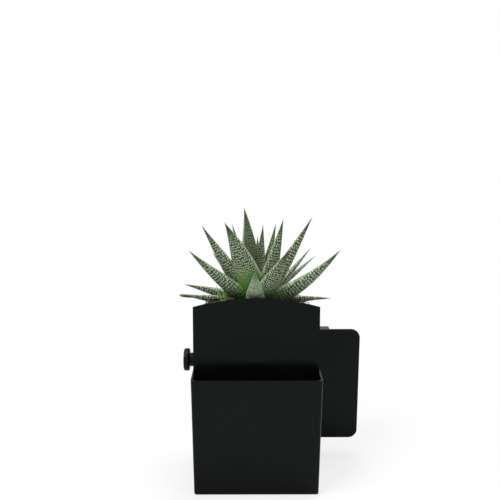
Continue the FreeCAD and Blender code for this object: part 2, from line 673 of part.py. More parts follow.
def make_thumb_screw_head():
    """Make the mushroom head of the thumb screw, with the seat of its stud."""
    head = turned("knob_blank", (
        (f"{HEAD_INNER_X} - Sizes.knob_thickness", "Sizes.knob_diameter / 2"),
        (HEAD_INNER_X, "Sizes.knob_diameter / 2"),
    ))
    radius = size("knob_diameter") / 2

    def is_rim(edge):
        return isinstance(edge.Curve, Part.Circle) and abs(edge.Curve.Radius - radius) < TOUCH

    round_edges(head, "knob_rims", is_rim, "Sizes.knob_round")
    at_knob(head)
    seat = cylinder("stud_seat", "Sizes.stud_diameter", "2 * Sizes.stud_seat")
    place(seat, f"{HEAD_INNER_X} - Sizes.stud_seat", KNOB_Y, "Sizes.knob_height", DRILL_X)
    return cut("thumb_screw_head", head, [seat])


def make_thumb_screw_stud():
    """Make the stud from its seat in the head to its tip in the pad."""
    stud = turned("thumb_screw_stud", (
        (f"{HEAD_INNER_X} - Sizes.stud_seat", "Sizes.stud_diameter / 2"),
        (PAD_OUTER_X, "Sizes.stud_diameter / 2"),
        (PAD_OUTER_X, "Sizes.tip_diameter / 2"),
        (f"{PAD_OUTER_X} + Sizes.tip_length", "Sizes.tip_diameter / 2"),
    ))
    return at_knob(stud)


def make_clamp_pad():
    """Make the swivel pad that the stud's tip turns in."""
    pad_blank = turned("pad_blank", (
        (PAD_OUTER_X, "Sizes.pad_diameter / 2 - Sizes.pad_bevel"),
        (f"{PAD_OUTER_X} + Sizes.pad_bevel", "Sizes.pad_diameter / 2"),
        (PAD_INNER_X, "Sizes.pad_diameter / 2"),
    ))
    at_knob(pad_blank)
    reach = "(Sizes.tip_length + Sizes.thread_clearance)"
    socket = cylinder("pad_socket", "(Sizes.tip_diameter + 2 * Sizes.thread_clearance)", f"2 * {reach}")
    place(socket, f"{PAD_OUTER_X} - {reach}", KNOB_Y, "Sizes.knob_height", DRILL_X)
    return cut("clamp_pad", pad_blank, [socket])


# --------------------------------------------------------------------------------------------------
# Liner and soil
# --------------------------------------------------------------------------------------------------

BODY_FRONT_Y = f"({LIP_MOUTH_Y} + Sizes.liner_lip_overhang)"
BODY_REAR_Y = f"({LIP_REAR_Y} - Sizes.liner_lip_overhang)"


def tapered_block(name, low, high, inset, corner, slope="Sizes.liner_draft"):
    """Make a block with the liner's outline, smaller downwards by its draft.

    Inset is the distance inside the liner's outer faces, low and high are its heights.
    """
    drop = f"({LIP_UNDERSIDE} - {low}) * {DRAFT}"
    body = new_body(name)
    sketch = sketch_on(body, "XY_Plane", f"{name}_foot")
    half = f"({LINER_HALF} - {inset} - {drop})"
    rectangle(sketch, f"-{half}", half, f"{BODY_FRONT_Y} + {inset} + {drop}",
              f"{BODY_REAR_Y} - {inset} - {drop}")
    bind(sketch, AttachmentOffset__Base__z=low)
    pad(body, sketch, f"{name}_pad", f"{high} - {low}", centred=False, taper=slope)

    def is_upright(first, second):
        return abs(first.z - second.z) > (number(high) - number(low)) / 2

    round_edges(body, f"{name}_corners", straight(is_upright), corner)
    return body


def make_liner():
    """Make the lift-out inner pot: tapered walls, lip, feet and drain holes."""
    outside = tapered_block("liner_outside", LINER_FOOT, LIP_UNDERSIDE, "0", "Sizes.liner_corner_radius")
    inside = tapered_block("liner_inside", f"({LINER_FOOT} + Sizes.liner_wall)",
                           f"({LINER_RIM} + Sizes.liner_lip_thickness)", "Sizes.liner_wall",
                           "(Sizes.liner_corner_radius - Sizes.liner_wall)")
    lip = new_body("liner_lip")
    sketch = sketch_on(lip, "XY_Plane", "liner_lip_face")
    rectangle(sketch, f"-{LIP_HALF}", LIP_HALF, LIP_MOUTH_Y, LIP_REAR_Y)
    bind(sketch, AttachmentOffset__Base__z=LIP_UNDERSIDE)
    pad(lip, sketch, "liner_lip_pad", "Sizes.liner_lip_thickness", centred=False)

    def is_lip_corner(first, second):
        return abs(first.z - second.z) > size("liner_lip_thickness") / 2

    round_edges(lip, "liner_lip_corners", straight(is_lip_corner), "Sizes.liner_corner_radius")
    feet, drains = [], []
    middle_y = f"(({BODY_FRONT_Y} + {BODY_REAR_Y}) / 2)"
    for sign_x in (-1, 1):
        for sign_y in (-1, 1):
            tag = f"{'l' if sign_x < 0 else 'r'}{'f' if sign_y < 0 else 'b'}"
            foot = cylinder(f"liner_foot_{tag}", "Sizes.liner_foot_diameter",
                            "Sizes.liner_foot_height + Sizes.liner_wall / 2")
            feet.append(place(foot, f"{sign_x} * ({LINER_HALF} - Sizes.liner_foot_inset)",
                              f"{middle_y} + {sign_y} * Sizes.liner_foot_spacing / 2", "Sizes.sheet_gauge"))
            drain = cylinder(f"liner_drain_{tag}", "Sizes.drain_hole_diameter", "4 * Sizes.liner_wall")
            drains.append(place(drain, f"{sign_x} * Sizes.drain_spacing_x / 2",
                                f"{middle_y} + {sign_y} * Sizes.drain_spacing_y / 2",
                                f"{LINER_FOOT} - Sizes.liner_wall"))
    solid = fuse("liner_solid", [outside, lip] + feet)
    return cut("liner", solid, [inside] + drains)


def make_soil():
    """Make the soil that fills the liner and is heaped over its lip."""
    fill = tapered_block("soil_fill", f"({LINER_FOOT} + Sizes.liner_wall)", LINER_RIM, "Sizes.liner_wall",
                         "(Sizes.liner_corner_radius - Sizes.liner_wall)")
    mound = new_body("soil_mound")
    sketch = sketch_on(mound, "XY_Plane", "soil_mound_foot")
    rectangle(sketch, f"-({LIP_HALF} - Sizes.mound_inset)", f"{LIP_HALF} - Sizes.mound_inset",
              f"{LIP_MOUTH_Y} + Sizes.mound_inset", f"{LIP_REAR_Y} - Sizes.mound_inset")
    bind(sketch, AttachmentOffset__Base__z=LINER_RIM)
    pad(mound, sketch, "soil_mound_pad", "Sizes.mound_height", centred=False, taper="-Sizes.mound_slope")
    top = number(SOIL_TOP)

    def is_slanted(first, second):
        return abs(first.z - second.z) > size("mound_height") / 2

    def is_top(first, second):
        return abs(first.z - top) < TOUCH and abs(second.z - top) < TOUCH

    round_edges(mound, "soil_mound_corners", straight(is_slanted), "Sizes.mound_round")
    round_edges(mound, "soil_mound_crest", straight(is_top), "Sizes.mound_round")
    return fuse("potting_soil", [fill, mound])


# --------------------------------------------------------------------------------------------------
# Haworthia: crown and leaves
# --------------------------------------------------------------------------------------------------

# Each leaf: direction round the crown from +X towards +Y in degrees, then, in millimetres on a rosette
# as wide as ROW_SPREAD, the reach of its tip from the crown's axis, the rise of the tip over the
# lowest roots, the width at its root, the sag below a straight line and the height of its own root
# over the lowest roots, and at last the angle by which its edge nearer to the pocket is rolled up.
ROW_SPREAD = 122.0
LEAVES = {
    "leaf_back_tall": (136, 13, 69, 21.0, -2.5, 6.0, 0),
    "leaf_front_broad": (230, 35, 63, 21.0, -2.2, 8.0, 30),
    "leaf_back_slim_left": (147, 22, 56.5, 11.0, -0.5, 7.0, 10),
    "leaf_left_high": (200, 41.5, 59, 15.5, 0.5, 4.0, 38),
    "leaf_left_short": (147, 40.5, 32.5, 12.0, 0.0, 4.0, 20),
    "leaf_left_long": (205, 52.5, 42.5, 15.5, 1.2, 2.0, 40),
    "leaf_left_flat": (170, 55.5, 10.5, 15.0, -0.8, 1.0, 40),
    "leaf_left_lowest": (184, 57, 6, 13.0, -0.3, 0.0, 40),
    "leaf_front_small": (266, 27, 28.5, 16.0, 1.2, 0.0, 0),
    "leaf_front_right": (304, 39, 45.5, 16.5, 0.0, 3.0, 20),
    "leaf_back_slim_middle": (77, 22.5, 54.5, 10.0, 0.0, 7.0, 0),
    "leaf_back_slim_low": (88, 30, 44.5, 8.0, 0.5, 6.0, 0),
    "leaf_back_slim_right": (58, 28, 55, 11.0, 0.8, 6.0, 10),
    "leaf_right_upright": (332, 21, 63, 15.0, 0.7, 7.0, 25),
    "leaf_right_high": (351, 40, 64, 14.5, 0.5, 4.0, 40),
    "leaf_right_short": (26, 45.5, 36, 14.0, 0.5, 3.0, 25),
    "leaf_right_back": (33, 55, 28.5, 10.5, 0.5, 3.0, 20),
    "leaf_right_long": (345, 61, 42, 18.5, 4.0, 1.0, 38),
    "leaf_right_lowest": (6, 56.5, 0.5, 12.5, -1.5, 0.0, 36),
    "leaf_rear_left": (122, 34, 20, 13.0, 2.0, 2.0, 0),
    "leaf_rear_middle": (92, 29, 15, 13.5, 2.0, 1.0, 0),
    "leaf_rear_right": (58, 34, 19, 13.0, 2.0, 2.0, 0),
    "leaf_rear_inner_left": (112, 27, 37, 12.0, 1.5, 5.0, 0),
    "leaf_rear_inner_right": (70, 27, 34, 12.0, 1.5, 5.0, 0),
}
DRY_LEAVES = {
    "dry_leaf_left": (196, 38, 4.0, 9.0, -2.0, 0.0, 20),
    "dry_leaf_left_rear": (156, 36, 1.0, 8.0, -2.0, 0.0, 0),
    "dry_leaf_right": (345, 36, 3.5, 9.0, -2.0, 0.0, 20),
    "dry_leaf_right_rear": (23, 37, 0.5, 8.0, -2.0, 0.0, 0),
}
PUP_LEAVES = {
    "pup_leaf_left": (191, 6.4, 18.2, 5.6, 0.3, 0.0, 20),
    "pup_leaf_right": (280, 1.0, 21.6, 5.4, 0.1, 0.0, 0),
}
LEAF_STATIONS = (0.0, 0.12, 0.3, 0.5, 0.7, 0.88, 1.0)
LEAF_TAPER = 1.1
LEAF_FULLNESS = 0.4
LEAF_HOLLOW = 0.08
TIP_HALF_WIDTH = 0.25


def leaf_half_width(share, width):
    """Return half the leaf's width at a share of its length: steady at the root, then a long point."""
    return max(width / 2 * math.cos(math.pi / 2 * share) ** LEAF_TAPER, TIP_HALF_WIDTH)


def leaf_section(centre, side, normal, half, depth):
    """Draw a crescent across the leaf: a hollow upper arc and a full lower arc."""
    left, right = centre - side * half, centre + side * half
    upper = Part.Arc(left, centre - normal * (LEAF_HOLLOW * half), right)
    lower = Part.Arc(right, centre - normal * depth, left)
    return Part.Wire([upper.toShape(), lower.toShape()])


def make_leaf(name, root, root_reach, row):
    """Loft one leaf along a bowed line from the crown to its tip."""
    direction, *lengths, roll = row
    growth = size("rosette_spread") / ROW_SPREAD
    reach, rise, width, sag, root_rise = (length * growth for length in lengths)
    angle = math.radians(direction)
    outward = Vector(math.cos(angle), math.sin(angle), 0)
    up = Vector(0, 0, 1)
    side = up.cross(outward)
    start = root + outward * root_reach + up * root_rise
    tip = root + outward * reach + up * rise
    chord = tip - start
    below = side.cross(chord)
    below.normalize()
    if below.z > 0:
        below = below * -1
    handle = (start + tip) * 0.5 + below * (2 * sag)
    sections = []
    for share in LEAF_STATIONS:
        centre = start * (1 - share) ** 2 + handle * (2 * share * (1 - share)) + tip * share ** 2
        tangent = (handle - start) * (1 - share) + (tip - handle) * share
        tangent.normalize()
        normal = side.cross(tangent) if side.cross(tangent).dot(below) < 0 else tangent.cross(side)
        turn = Rotation(tangent, math.copysign(roll, side.cross(tangent).dot(normal) * side.y))
        half = leaf_half_width(share, width)
        depth = 2 * half * LEAF_FULLNESS + TIP_HALF_WIDTH
        sections.append(leaf_section(centre, turn.multVec(side), turn.multVec(normal), half, depth))
    leaf = doc.addObject("Part::Feature", name)
    leaf.Label = name
    leaf.Shape = Part.makeLoft(sections, True, False)
    leaf.Placement = Placement()
    return leaf


def make_crown():
    """Make the short stem that the leaves grow from."""
    crown = doc.addObject("Part::Cone", "plant_crown")
    crown.Label = "plant_crown"
    bind(crown, Radius1="Sizes.crown_radius", Radius2="Sizes.crown_neck_radius", Height="Sizes.crown_height")
    return place(crown, "Sizes.crown_right", CROWN_Y, SOIL_TOP)


def make_leaves():
    """Make every leaf of the rosette, the dry ones under it and the pup beside it."""
    foot = Vector(size("crown_right"), number(CROWN_Y), number(SOIL_TOP))
    root = foot + Vector(0, 0, size("leaf_root_height"))
    pup = Vector(
        size("crown_right") - size("pup_left"),
        number(LIP_MOUTH_Y) + size("pup_from_mouth"),
        number(SOIL_TOP) - size("pup_root_depth"),
    )
    leaves = [make_leaf(name, root, size("crown_neck_radius"), row) for name, row in LEAVES.items()]
    leaves += [make_leaf(name, root, size("crown_radius"), row) for name, row in DRY_LEAVES.items()]
    leaves += [make_leaf(name, pup, 0.0, row) for name, row in PUP_LEAVES.items()]
    return leaves


# --------------------------------------------------------------------------------------------------
# Assembly and export
# --------------------------------------------------------------------------------------------------

sub_parts = [
    make_arch_panel(),
    make_pot_body(),
    make_pot_floor(),
    make_pocket_front(),
    make_hanger_plate(),
    make_back_rivets(),
    make_wall_bumpers(),
    make_bumper_screws(),
    make_wall_cleat(),
    make_clamp_nut(),
    make_thumb_screw_head(),
    make_thumb_screw_stud(),
    make_clamp_pad(),
    make_liner(),
    make_soil(),
    make_crown(),
]
sub_parts += make_leaves()
doc.recompute()

for item in doc.Objects:
    if "Invalid" in item.State or "Error" in item.State:
        raise ValueError(f"{item.Label} failed: {item.State}")
for part in sub_parts:
    if part.Shape.isNull() or not part.Shape.isValid() or not part.Shape.Solids:
        raise ValueError(f"{part.Label} has no valid solid")

for part in sub_parts:
    part.Shape.exportStep(f"parts/{part.Label}.step")
    box = part.Shape.BoundBox
    print(f"{part.Label}: {len(part.Shape.Solids)} solid, x {box.XMin:.1f}..{box.XMax:.1f}, "
          f"y {box.YMin:.1f}..{box.YMax:.1f}, z {box.ZMin:.1f}..{box.ZMax:.1f}")
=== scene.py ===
"""Looks of the wall planter: powder-coated sheet, hardware, potting soil and zebra haworthia in a studio."""

import logging
import math
import random
from dataclasses import dataclass, field
from enum import Enum
from typing import Callable, Protocol, Sequence

import bmesh
import bpy
from mathutils import Matrix, Vector, noise


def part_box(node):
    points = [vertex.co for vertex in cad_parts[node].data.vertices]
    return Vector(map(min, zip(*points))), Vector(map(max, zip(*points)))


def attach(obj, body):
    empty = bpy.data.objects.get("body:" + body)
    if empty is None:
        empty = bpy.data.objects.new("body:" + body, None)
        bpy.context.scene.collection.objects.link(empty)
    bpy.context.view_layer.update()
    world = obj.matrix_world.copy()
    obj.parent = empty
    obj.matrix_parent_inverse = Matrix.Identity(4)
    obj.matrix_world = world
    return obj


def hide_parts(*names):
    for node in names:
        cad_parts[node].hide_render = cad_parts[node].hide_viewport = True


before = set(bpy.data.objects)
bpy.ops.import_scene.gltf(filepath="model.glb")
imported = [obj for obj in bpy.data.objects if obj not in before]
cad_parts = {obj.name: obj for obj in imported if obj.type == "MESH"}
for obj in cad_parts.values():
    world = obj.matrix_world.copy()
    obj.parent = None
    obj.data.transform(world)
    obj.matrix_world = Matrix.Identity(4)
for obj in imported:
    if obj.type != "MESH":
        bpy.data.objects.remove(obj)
log = logging.getLogger("wall_planter")

MM = 0.001
TURN = 2 * math.pi
UV_PER_MM = 0.01
DRIFT_SHIFTS = (Vector((0.0, 0.0, 0.0)), Vector((31.7, 5.3, 12.9)), Vector((7.1, 43.9, 26.3)))
Triple = tuple[float, float, float]
Colour = Triple
Tree, Socket = bpy.types.NodeTree, bpy.types.NodeSocket
Node, Material = bpy.types.Node, bpy.types.Material
FLOAT, COLOUR, VECTOR = "NodeSocketFloat", "NodeSocketColor", "NodeSocketVector"
SURFACE = (("Color", COLOUR), ("Roughness", FLOAT), ("Height", FLOAT))


class Slot(Enum):
    """Material slots of the record that the replaced pieces belong to."""

    SCREW = "screw_steel"
    SOIL = "soil"
    LEAF = "haworthia_leaf"
    DRY_LEAF = "dry_leaf"
    PUP = "pup_leaf"


class Band(Enum):
    """How the white bumps of a leaf's outer face lie."""

    DOTS = 0.0
    ROWS = 0.3
    STRIPES = 0.75


# Shader helpers

def start_group(name: str, inputs: Sequence[tuple[str, str, object]],
                outputs: Sequence[tuple[str, str]]) -> tuple:
    """Start a shader node group with named sockets.

    Args:
        name: The group's name.
        inputs: Name, socket type and default of each input.
        outputs: Name and socket type of each output.

    Returns:
        The group, its input node and its output node.
    """
    group = bpy.data.node_groups.new(name, "ShaderNodeTree")
    for label, kind, default in inputs:
        socket = group.interface.new_socket(name=label, in_out="INPUT", socket_type=kind)
        socket.default_value = default
    for label, kind in outputs:
        group.interface.new_socket(name=label, in_out="OUTPUT", socket_type=kind)
    return group, group.nodes.new("NodeGroupInput"), group.nodes.new("NodeGroupOutput")


def add_node(tree: Tree, kind: str, **settings: object) -> Node:
    """Add a node and set its properties.

    Args:
        tree: The node tree.
        kind: The node's type.
        settings: Properties to set on it.

    Returns:
        The new node.
    """
    node = tree.nodes.new(kind)
    for key, value in settings.items():
        setattr(node, key, value)
    return node


def join(tree: Tree, source: Socket, target: Socket) -> None:
    """Link two sockets."""
    tree.links.new(source, target)


def feed(tree: Tree, socket: Socket, value: object) -> None:
    """Put a number, a colour or another socket into a socket.

    Args:
        tree: The node tree.
        socket: The socket that receives it.
        value: A socket, a number or a colour.
    """
    if isinstance(value, Socket):
        join(tree, value, socket)
    elif isinstance(value, (tuple, list)) and len(socket.default_value) == 4 and len(value) == 3:
        socket.default_value = (*value, 1.0)
    else:
        socket.default_value = value


def reckon(tree: Tree, operation: str, *values: object) -> Socket:
    """Add a Math node.

    Args:
        tree: The node tree.
        operation: The operation, such as MULTIPLY.
        values: One to three sockets or numbers.

    Returns:
        Its result.
    """
    node = add_node(tree, "ShaderNodeMath", operation=operation)
    for socket, value in zip(node.inputs, values):
        feed(tree, socket, value)
    return node.outputs[0]


def spread(tree: Tree, value: object, low: float, high: float,
           to_low: float = 0.0, to_high: float = 1.0) -> Socket:
    """Map a range of values smoothly onto another.

    Args:
        tree: The node tree.
        value: The socket that is mapped.
        low: The value that becomes to_low.
        high: The value that becomes to_high.
        to_low: The lower result.
        to_high: The upper result.

    Returns:
        The mapped value.
    """
    node = add_node(tree, "ShaderNodeMapRange", interpolation_type="SMOOTHSTEP")
    for socket, number in zip(node.inputs, (value, low, high, to_low, to_high)):
        feed(tree, socket, number)
    return node.outputs[0]


def blend_colours(tree: Tree, share: object, first: object, second: object,
                  mode: str = "MIX") -> Socket:
    """Mix two colours.

    Args:
        tree: The node tree.
        share: The second colour's share.
        first: The first colour or socket.
        second: The second colour or socket.
        mode: The blend mode.

    Returns:
        The mixed colour.
    """
    node = add_node(tree, "ShaderNodeMix", data_type="RGBA", blend_type=mode)
    feed(tree, node.inputs[0], share)
    feed(tree, node.inputs[6], first)
    feed(tree, node.inputs[7], second)
    return node.outputs[2]


def speckle(tree: Tree, place: object, scale: object, detail: float = 2.0,
            roughness: float = 0.5) -> Socket:
    """Add a noise texture in the object's own metres.

    Args:
        tree: The node tree.
        place: The coordinates.
        scale: Features per metre.
        detail: Octaves.
        roughness: Strength of the finer octaves.

    Returns:
        The noise's value.
    """
    node = add_node(tree, "ShaderNodeTexNoise")
    feed(tree, node.inputs["Vector"], place)
    feed(tree, node.inputs["Scale"], scale)
    feed(tree, node.inputs["Detail"], detail)
    feed(tree, node.inputs["Roughness"], roughness)
    return node.outputs["Fac"]


def object_place(tree: Tree) -> Socket:
    """Return the object coordinates."""
    return add_node(tree, "ShaderNodeTexCoord").outputs["Object"]


def combine(tree: Tree, across: object, along: object) -> Socket:
    """Join two values into a vector.

    Args:
        tree: The node tree.
        across: Its first part.
        along: Its second part.

    Returns:
        The vector.
    """
    node = add_node(tree, "ShaderNodeCombineXYZ")
    feed(tree, node.inputs[0], across)
    feed(tree, node.inputs[1], along)
    return node.outputs[0]


def use_group(tree: Tree, group: Tree,
              values: dict[str, object]) -> Node:
    """Add a shared group and set its inputs.

    Args:
        tree: The node tree.
        group: The shared group.
        values: A value for each input that is set.

    Returns:
        The group's node.
    """
    node = add_node(tree, "ShaderNodeGroup", node_tree=group)
    for label, value in values.items():
        feed(tree, node.inputs[label], value)
    return node


# Shared effects

def make_surface_grain() -> Tree:
    """Make the grain of a coated or moulded surface: fine peel, cloudy tone and specks of dust.

    Returns:
        A group that puts out Color, Roughness and Height.
    """
    tree, source, sink = start_group(
        "surface_grain",
        [("Tone", COLOUR, (0.01, 0.01, 0.01, 1.0)), ("Gloss Loss", FLOAT, 0.45), ("Grain", FLOAT, 1100.0),
         ("Cloud", FLOAT, 28.0), ("Dust", FLOAT, 0.2), ("Fleck", COLOUR, (0.045, 0.046, 0.05, 1.0))], SURFACE)
    place = object_place(tree)
    peel = speckle(tree, place, source.outputs["Grain"], 3.0, 0.6)
    cloud = speckle(tree, place, source.outputs["Cloud"], 3.0, 0.55)
    mote = speckle(tree, place, reckon(tree, "MULTIPLY", source.outputs["Grain"], 1.9), 1.0, 0.4)
    dust = reckon(tree, "MULTIPLY", spread(tree, mote, 0.66, 0.74), source.outputs["Dust"])
    tone = blend_colours(tree, 1.0, source.outputs["Tone"],
                         spread(tree, cloud, 0.3, 0.7, 0.82, 1.2), "MULTIPLY")
    tone = blend_colours(tree, spread(tree, peel, 0.35, 0.75, 0.0, 0.22), tone,
                         source.outputs["Fleck"])
    pale = blend_colours(tree, 0.1, source.outputs["Fleck"], (0.16, 0.155, 0.15))
    join(tree, blend_colours(tree, dust, tone, pale), sink.inputs["Color"])
    rough = reckon(tree, "ADD", source.outputs["Gloss Loss"], spread(tree, cloud, 0.3, 0.7, -0.05, 0.06))
    join(tree, reckon(tree, "ADD", rough, reckon(tree, "MULTIPLY", dust, 0.3)), sink.inputs["Roughness"])
    join(tree, reckon(tree, "ADD", peel, reckon(tree, "MULTIPLY", dust, 0.6)), sink.inputs["Height"])
    return tree


def make_brushed_lines() -> Tree:
    """Make the drawn lines, stains and small pits of bare or plated steel.

    Returns:
        A group that puts out Color, Roughness and Height.
    """
    tree, source, sink = start_group(
        "drawn_steel",
        [("Tone", COLOUR, (0.5, 0.5, 0.5, 1.0)), ("Stain", COLOUR, (0.3, 0.3, 0.32, 1.0)),
         ("Gloss Loss", FLOAT, 0.35), ("Stretch", VECTOR, (60.0, 1500.0, 1500.0))], SURFACE)
    place = object_place(tree)
    lined = add_node(tree, "ShaderNodeVectorMath", operation="MULTIPLY")
    join(tree, place, lined.inputs[0])
    join(tree, source.outputs["Stretch"], lined.inputs[1])
    lines = speckle(tree, lined.outputs[0], 1.0, 3.0, 0.6)
    stain = speckle(tree, place, 160.0, 4.0, 0.6)
    pits = speckle(tree, place, 2600.0, 1.0, 0.5)
    tone = blend_colours(tree, spread(tree, stain, 0.42, 0.72), source.outputs["Tone"],
                         source.outputs["Stain"])
    join(tree, blend_colours(tree, 1.0, tone, spread(tree, lines, 0.2, 0.8, 0.85, 1.1), "MULTIPLY"),
         sink.inputs["Color"])
    rough = reckon(tree, "ADD", source.outputs["Gloss Loss"], spread(tree, stain, 0.4, 0.7, -0.05, 0.12))
    join(tree, rough, sink.inputs["Roughness"])
    join(tree, reckon(tree, "ADD", reckon(tree, "MULTIPLY", lines, 0.7), reckon(tree, "MULTIPLY", pits, 0.3)),
         sink.inputs["Height"])
    return tree


def make_leaf_rows() -> Tree:
    """Make the haworthia's bumps: cross rows of pale dots that can run together into stripes.

    The leaf's UV map runs across it in U and along it in V, both in units of 0.1 m.

    Returns:
        A group that puts out Mask, the bumps, and Streak, the lengthwise veins.
    """
    tree, source, sink = start_group(
        "leaf_rows",
        [("Across", FLOAT, 1.25), ("Along", FLOAT, 1.9), ("Banding", FLOAT, 0.5), ("Size", FLOAT, 0.33)],
        [("Mask", FLOAT), ("Streak", FLOAT)])
    split = add_node(tree, "ShaderNodeSeparateXYZ")
    join(tree, add_node(tree, "ShaderNodeUVMap", uv_map="leaf").outputs[0], split.inputs[0])
    u = reckon(tree, "MULTIPLY", split.outputs["X"], 1 / UV_PER_MM)
    v = reckon(tree, "MULTIPLY", split.outputs["Y"], 1 / UV_PER_MM)
    wave = combine(tree, reckon(tree, "MULTIPLY", u, 0.16), reckon(tree, "MULTIPLY", v, 0.12))
    drift = reckon(tree, "SUBTRACT", speckle(tree, wave, 1.0, 2.0), 0.5)
    along = reckon(tree, "ADD", v, reckon(tree, "MULTIPLY", drift, 2.4))
    along = reckon(tree, "DIVIDE", along, source.outputs["Along"])
    place = combine(tree, reckon(tree, "DIVIDE", u, source.outputs["Across"]), along)
    cells = add_node(tree, "ShaderNodeTexVoronoi", voronoi_dimensions="2D", feature="F1")
    join(tree, place, cells.inputs["Vector"])
    feed(tree, cells.inputs["Scale"], 1.0)
    feed(tree, cells.inputs["Randomness"], 0.42)
    dots = spread(tree, cells.outputs["Distance"], reckon(tree, "MULTIPLY", source.outputs["Size"], 1.25),
                  reckon(tree, "MULTIPLY", source.outputs["Size"], 0.75))
    ripple = reckon(tree, "COSINE", reckon(tree, "MULTIPLY", along, TURN))
    patchy = speckle(tree, place, 0.9, 2.0)
    stripe = reckon(tree, "MULTIPLY", spread(tree, ripple, 0.45, 0.85), spread(tree, patchy, 0.42, 0.56))
    stripe = reckon(tree, "MULTIPLY", stripe, source.outputs["Banding"])
    join(tree, reckon(tree, "MAXIMUM", dots, stripe), sink.inputs["Mask"])
    vein = combine(tree, reckon(tree, "MULTIPLY", u, 1.4), reckon(tree, "MULTIPLY", v, 0.05))
    join(tree, speckle(tree, vein, 1.0, 3.0), sink.inputs["Streak"])
    return tree


@dataclass
class Effects:
    """The node groups that the finishes share, built once."""

    grain: Tree = field(default_factory=make_surface_grain)
    steel: Tree = field(default_factory=make_brushed_lines)
    rows: Tree = field(default_factory=make_leaf_rows)


# Finishes

def new_material(name: str) -> tuple[Material, Tree, Node]:
    """Start a material with one Principled shader.

    Args:
        name: The material's name.

    Returns:
        The material, its node tree and its shader.
    """
    material = bpy.data.materials.new(name)
    material.use_nodes = True
    tree = material.node_tree
    return material, tree, tree.nodes["Principled BSDF"]


def raise_bump(tree: Tree, shader: Node, height: Socket, distance: float) -> None:
    """Let a height drive the shader's normal.

    Args:
        tree: The material's tree.
        shader: Its Principled shader.
        height: The height.
        distance: The height's size in metres.
    """
    bump = add_node(tree, "ShaderNodeBump")
    bump.inputs["Strength"].default_value = 1.0
    bump.inputs["Distance"].default_value = distance
    join(tree, height, bump.inputs["Height"])
    join(tree, bump.outputs[0], shader.inputs["Normal"])


def dress_shader(tree: Tree, shader: Node, effect: Node) -> None:
    """Let a shared effect drive the shader's colour and roughness."""
    join(tree, effect.outputs["Color"], shader.inputs["Base Color"])
    join(tree, effect.outputs["Roughness"], shader.inputs["Roughness"])


def leaf_map(tree: Tree, name: str) -> Socket:
    """Return one of a leaf's own maps: along, outer or margin."""
    return add_node(tree, "ShaderNodeAttribute", attribute_name=name).outputs["Fac"]


class Finish(Protocol):
    """What every finish offers."""

    name: str

    def build(self, effects: Effects) -> Material:
        """Build the material."""


@dataclass(frozen=True)
class MouldedFinish:
    """Powder coat, plastic or rubber with a fine grain."""

    name: str
    tone: Colour
    roughness: float
    grain: float
    depth_mm: float
    specular: float
    cloud: float = 28.0
    dust: float = 0.2
    fleck: float = 0.045
    sheen_tint: Colour = (1.0, 1.0, 1.0)

    def build(self, effects: Effects) -> Material:
        """Build the material from the shared grain.

        Args:
            effects: The shared node groups.

        Returns:
            The material.
        """
        material, tree, shader = new_material(self.name)
        grain = use_group(tree, effects.grain, {
            "Tone": self.tone, "Gloss Loss": self.roughness, "Grain": self.grain, "Cloud": self.cloud,
            "Dust": self.dust, "Fleck": (self.fleck,) * 3})
        dress_shader(tree, shader, grain)
        shader.inputs["Specular IOR Level"].default_value = self.specular
        shader.inputs["Specular Tint"].default_value = (*self.sheen_tint, 1.0)
        raise_bump(tree, shader, grain.outputs["Height"], self.depth_mm * MM)
        return material


@dataclass(frozen=True)
class SteelFinish:
    """Plated, oiled or bare steel with drawn lines."""

    name: str
    tone: Colour
    stain: Colour
    roughness: float
    stretch: Triple
    thread_pitch_mm: float = 0.0
    line_depth_mm: float = 0.2
    thread_depth_mm: float = 0.35

    def build(self, effects: Effects) -> Material:
        """Build the material, with a screw thread's ridges where it has a pitch.

        Args:
            effects: The shared node groups.

        Returns:
            The material.
        """
        material, tree, shader = new_material(self.name)
        steel = use_group(tree, effects.steel, {
            "Tone": self.tone, "Stain": self.stain, "Gloss Loss": self.roughness, "Stretch": self.stretch})
        dress_shader(tree, shader, steel)
        shader.inputs["Metallic"].default_value = 1.0
        height = reckon(tree, "MULTIPLY", steel.outputs["Height"], 0.05)
        depth = self.line_depth_mm
        if self.thread_pitch_mm:
            split = add_node(tree, "ShaderNodeSeparateXYZ")
            join(tree, object_place(tree), split.inputs[0])
            turn = reckon(tree, "MULTIPLY", split.outputs["X"], TURN / (self.thread_pitch_mm * MM))
            ridge = reckon(tree, "MULTIPLY", reckon(tree, "SINE", turn), 0.5)
            height = reckon(tree, "ADD", height, ridge)
            depth = self.thread_depth_mm
        raise_bump(tree, shader, height, depth * MM)
        return material


@dataclass(frozen=True)
class SoilFinish:
    """Peaty potting mix, from dark crumbs to tan bark."""

    name: str
    dark: Colour
    light: Colour
    scale: float = 900.0

    def build(self, effects: Effects) -> Material:
        """Build the material.

        Args:
            effects: The shared node groups, not used.

        Returns:
            The material.
        """
        material, tree, shader = new_material(self.name)
        place = object_place(tree)
        clump = speckle(tree, place, self.scale * 0.25, 4.0, 0.65)
        crumb = speckle(tree, place, self.scale, 3.0, 0.6)
        tone = blend_colours(tree, spread(tree, clump, 0.3, 0.7), self.dark, self.light)
        tone = blend_colours(tree, spread(tree, crumb, 0.45, 0.7, 0.0, 0.6), tone,
                             tuple(0.35 * part for part in self.dark))
        join(tree, tone, shader.inputs["Base Color"])
        join(tree, spread(tree, crumb, 0.2, 0.8, 0.98, 0.8), shader.inputs["Roughness"])
        shader.inputs["Specular IOR Level"].default_value = 0.25
        raise_bump(tree, shader, crumb, 0.5 * MM)
        return material


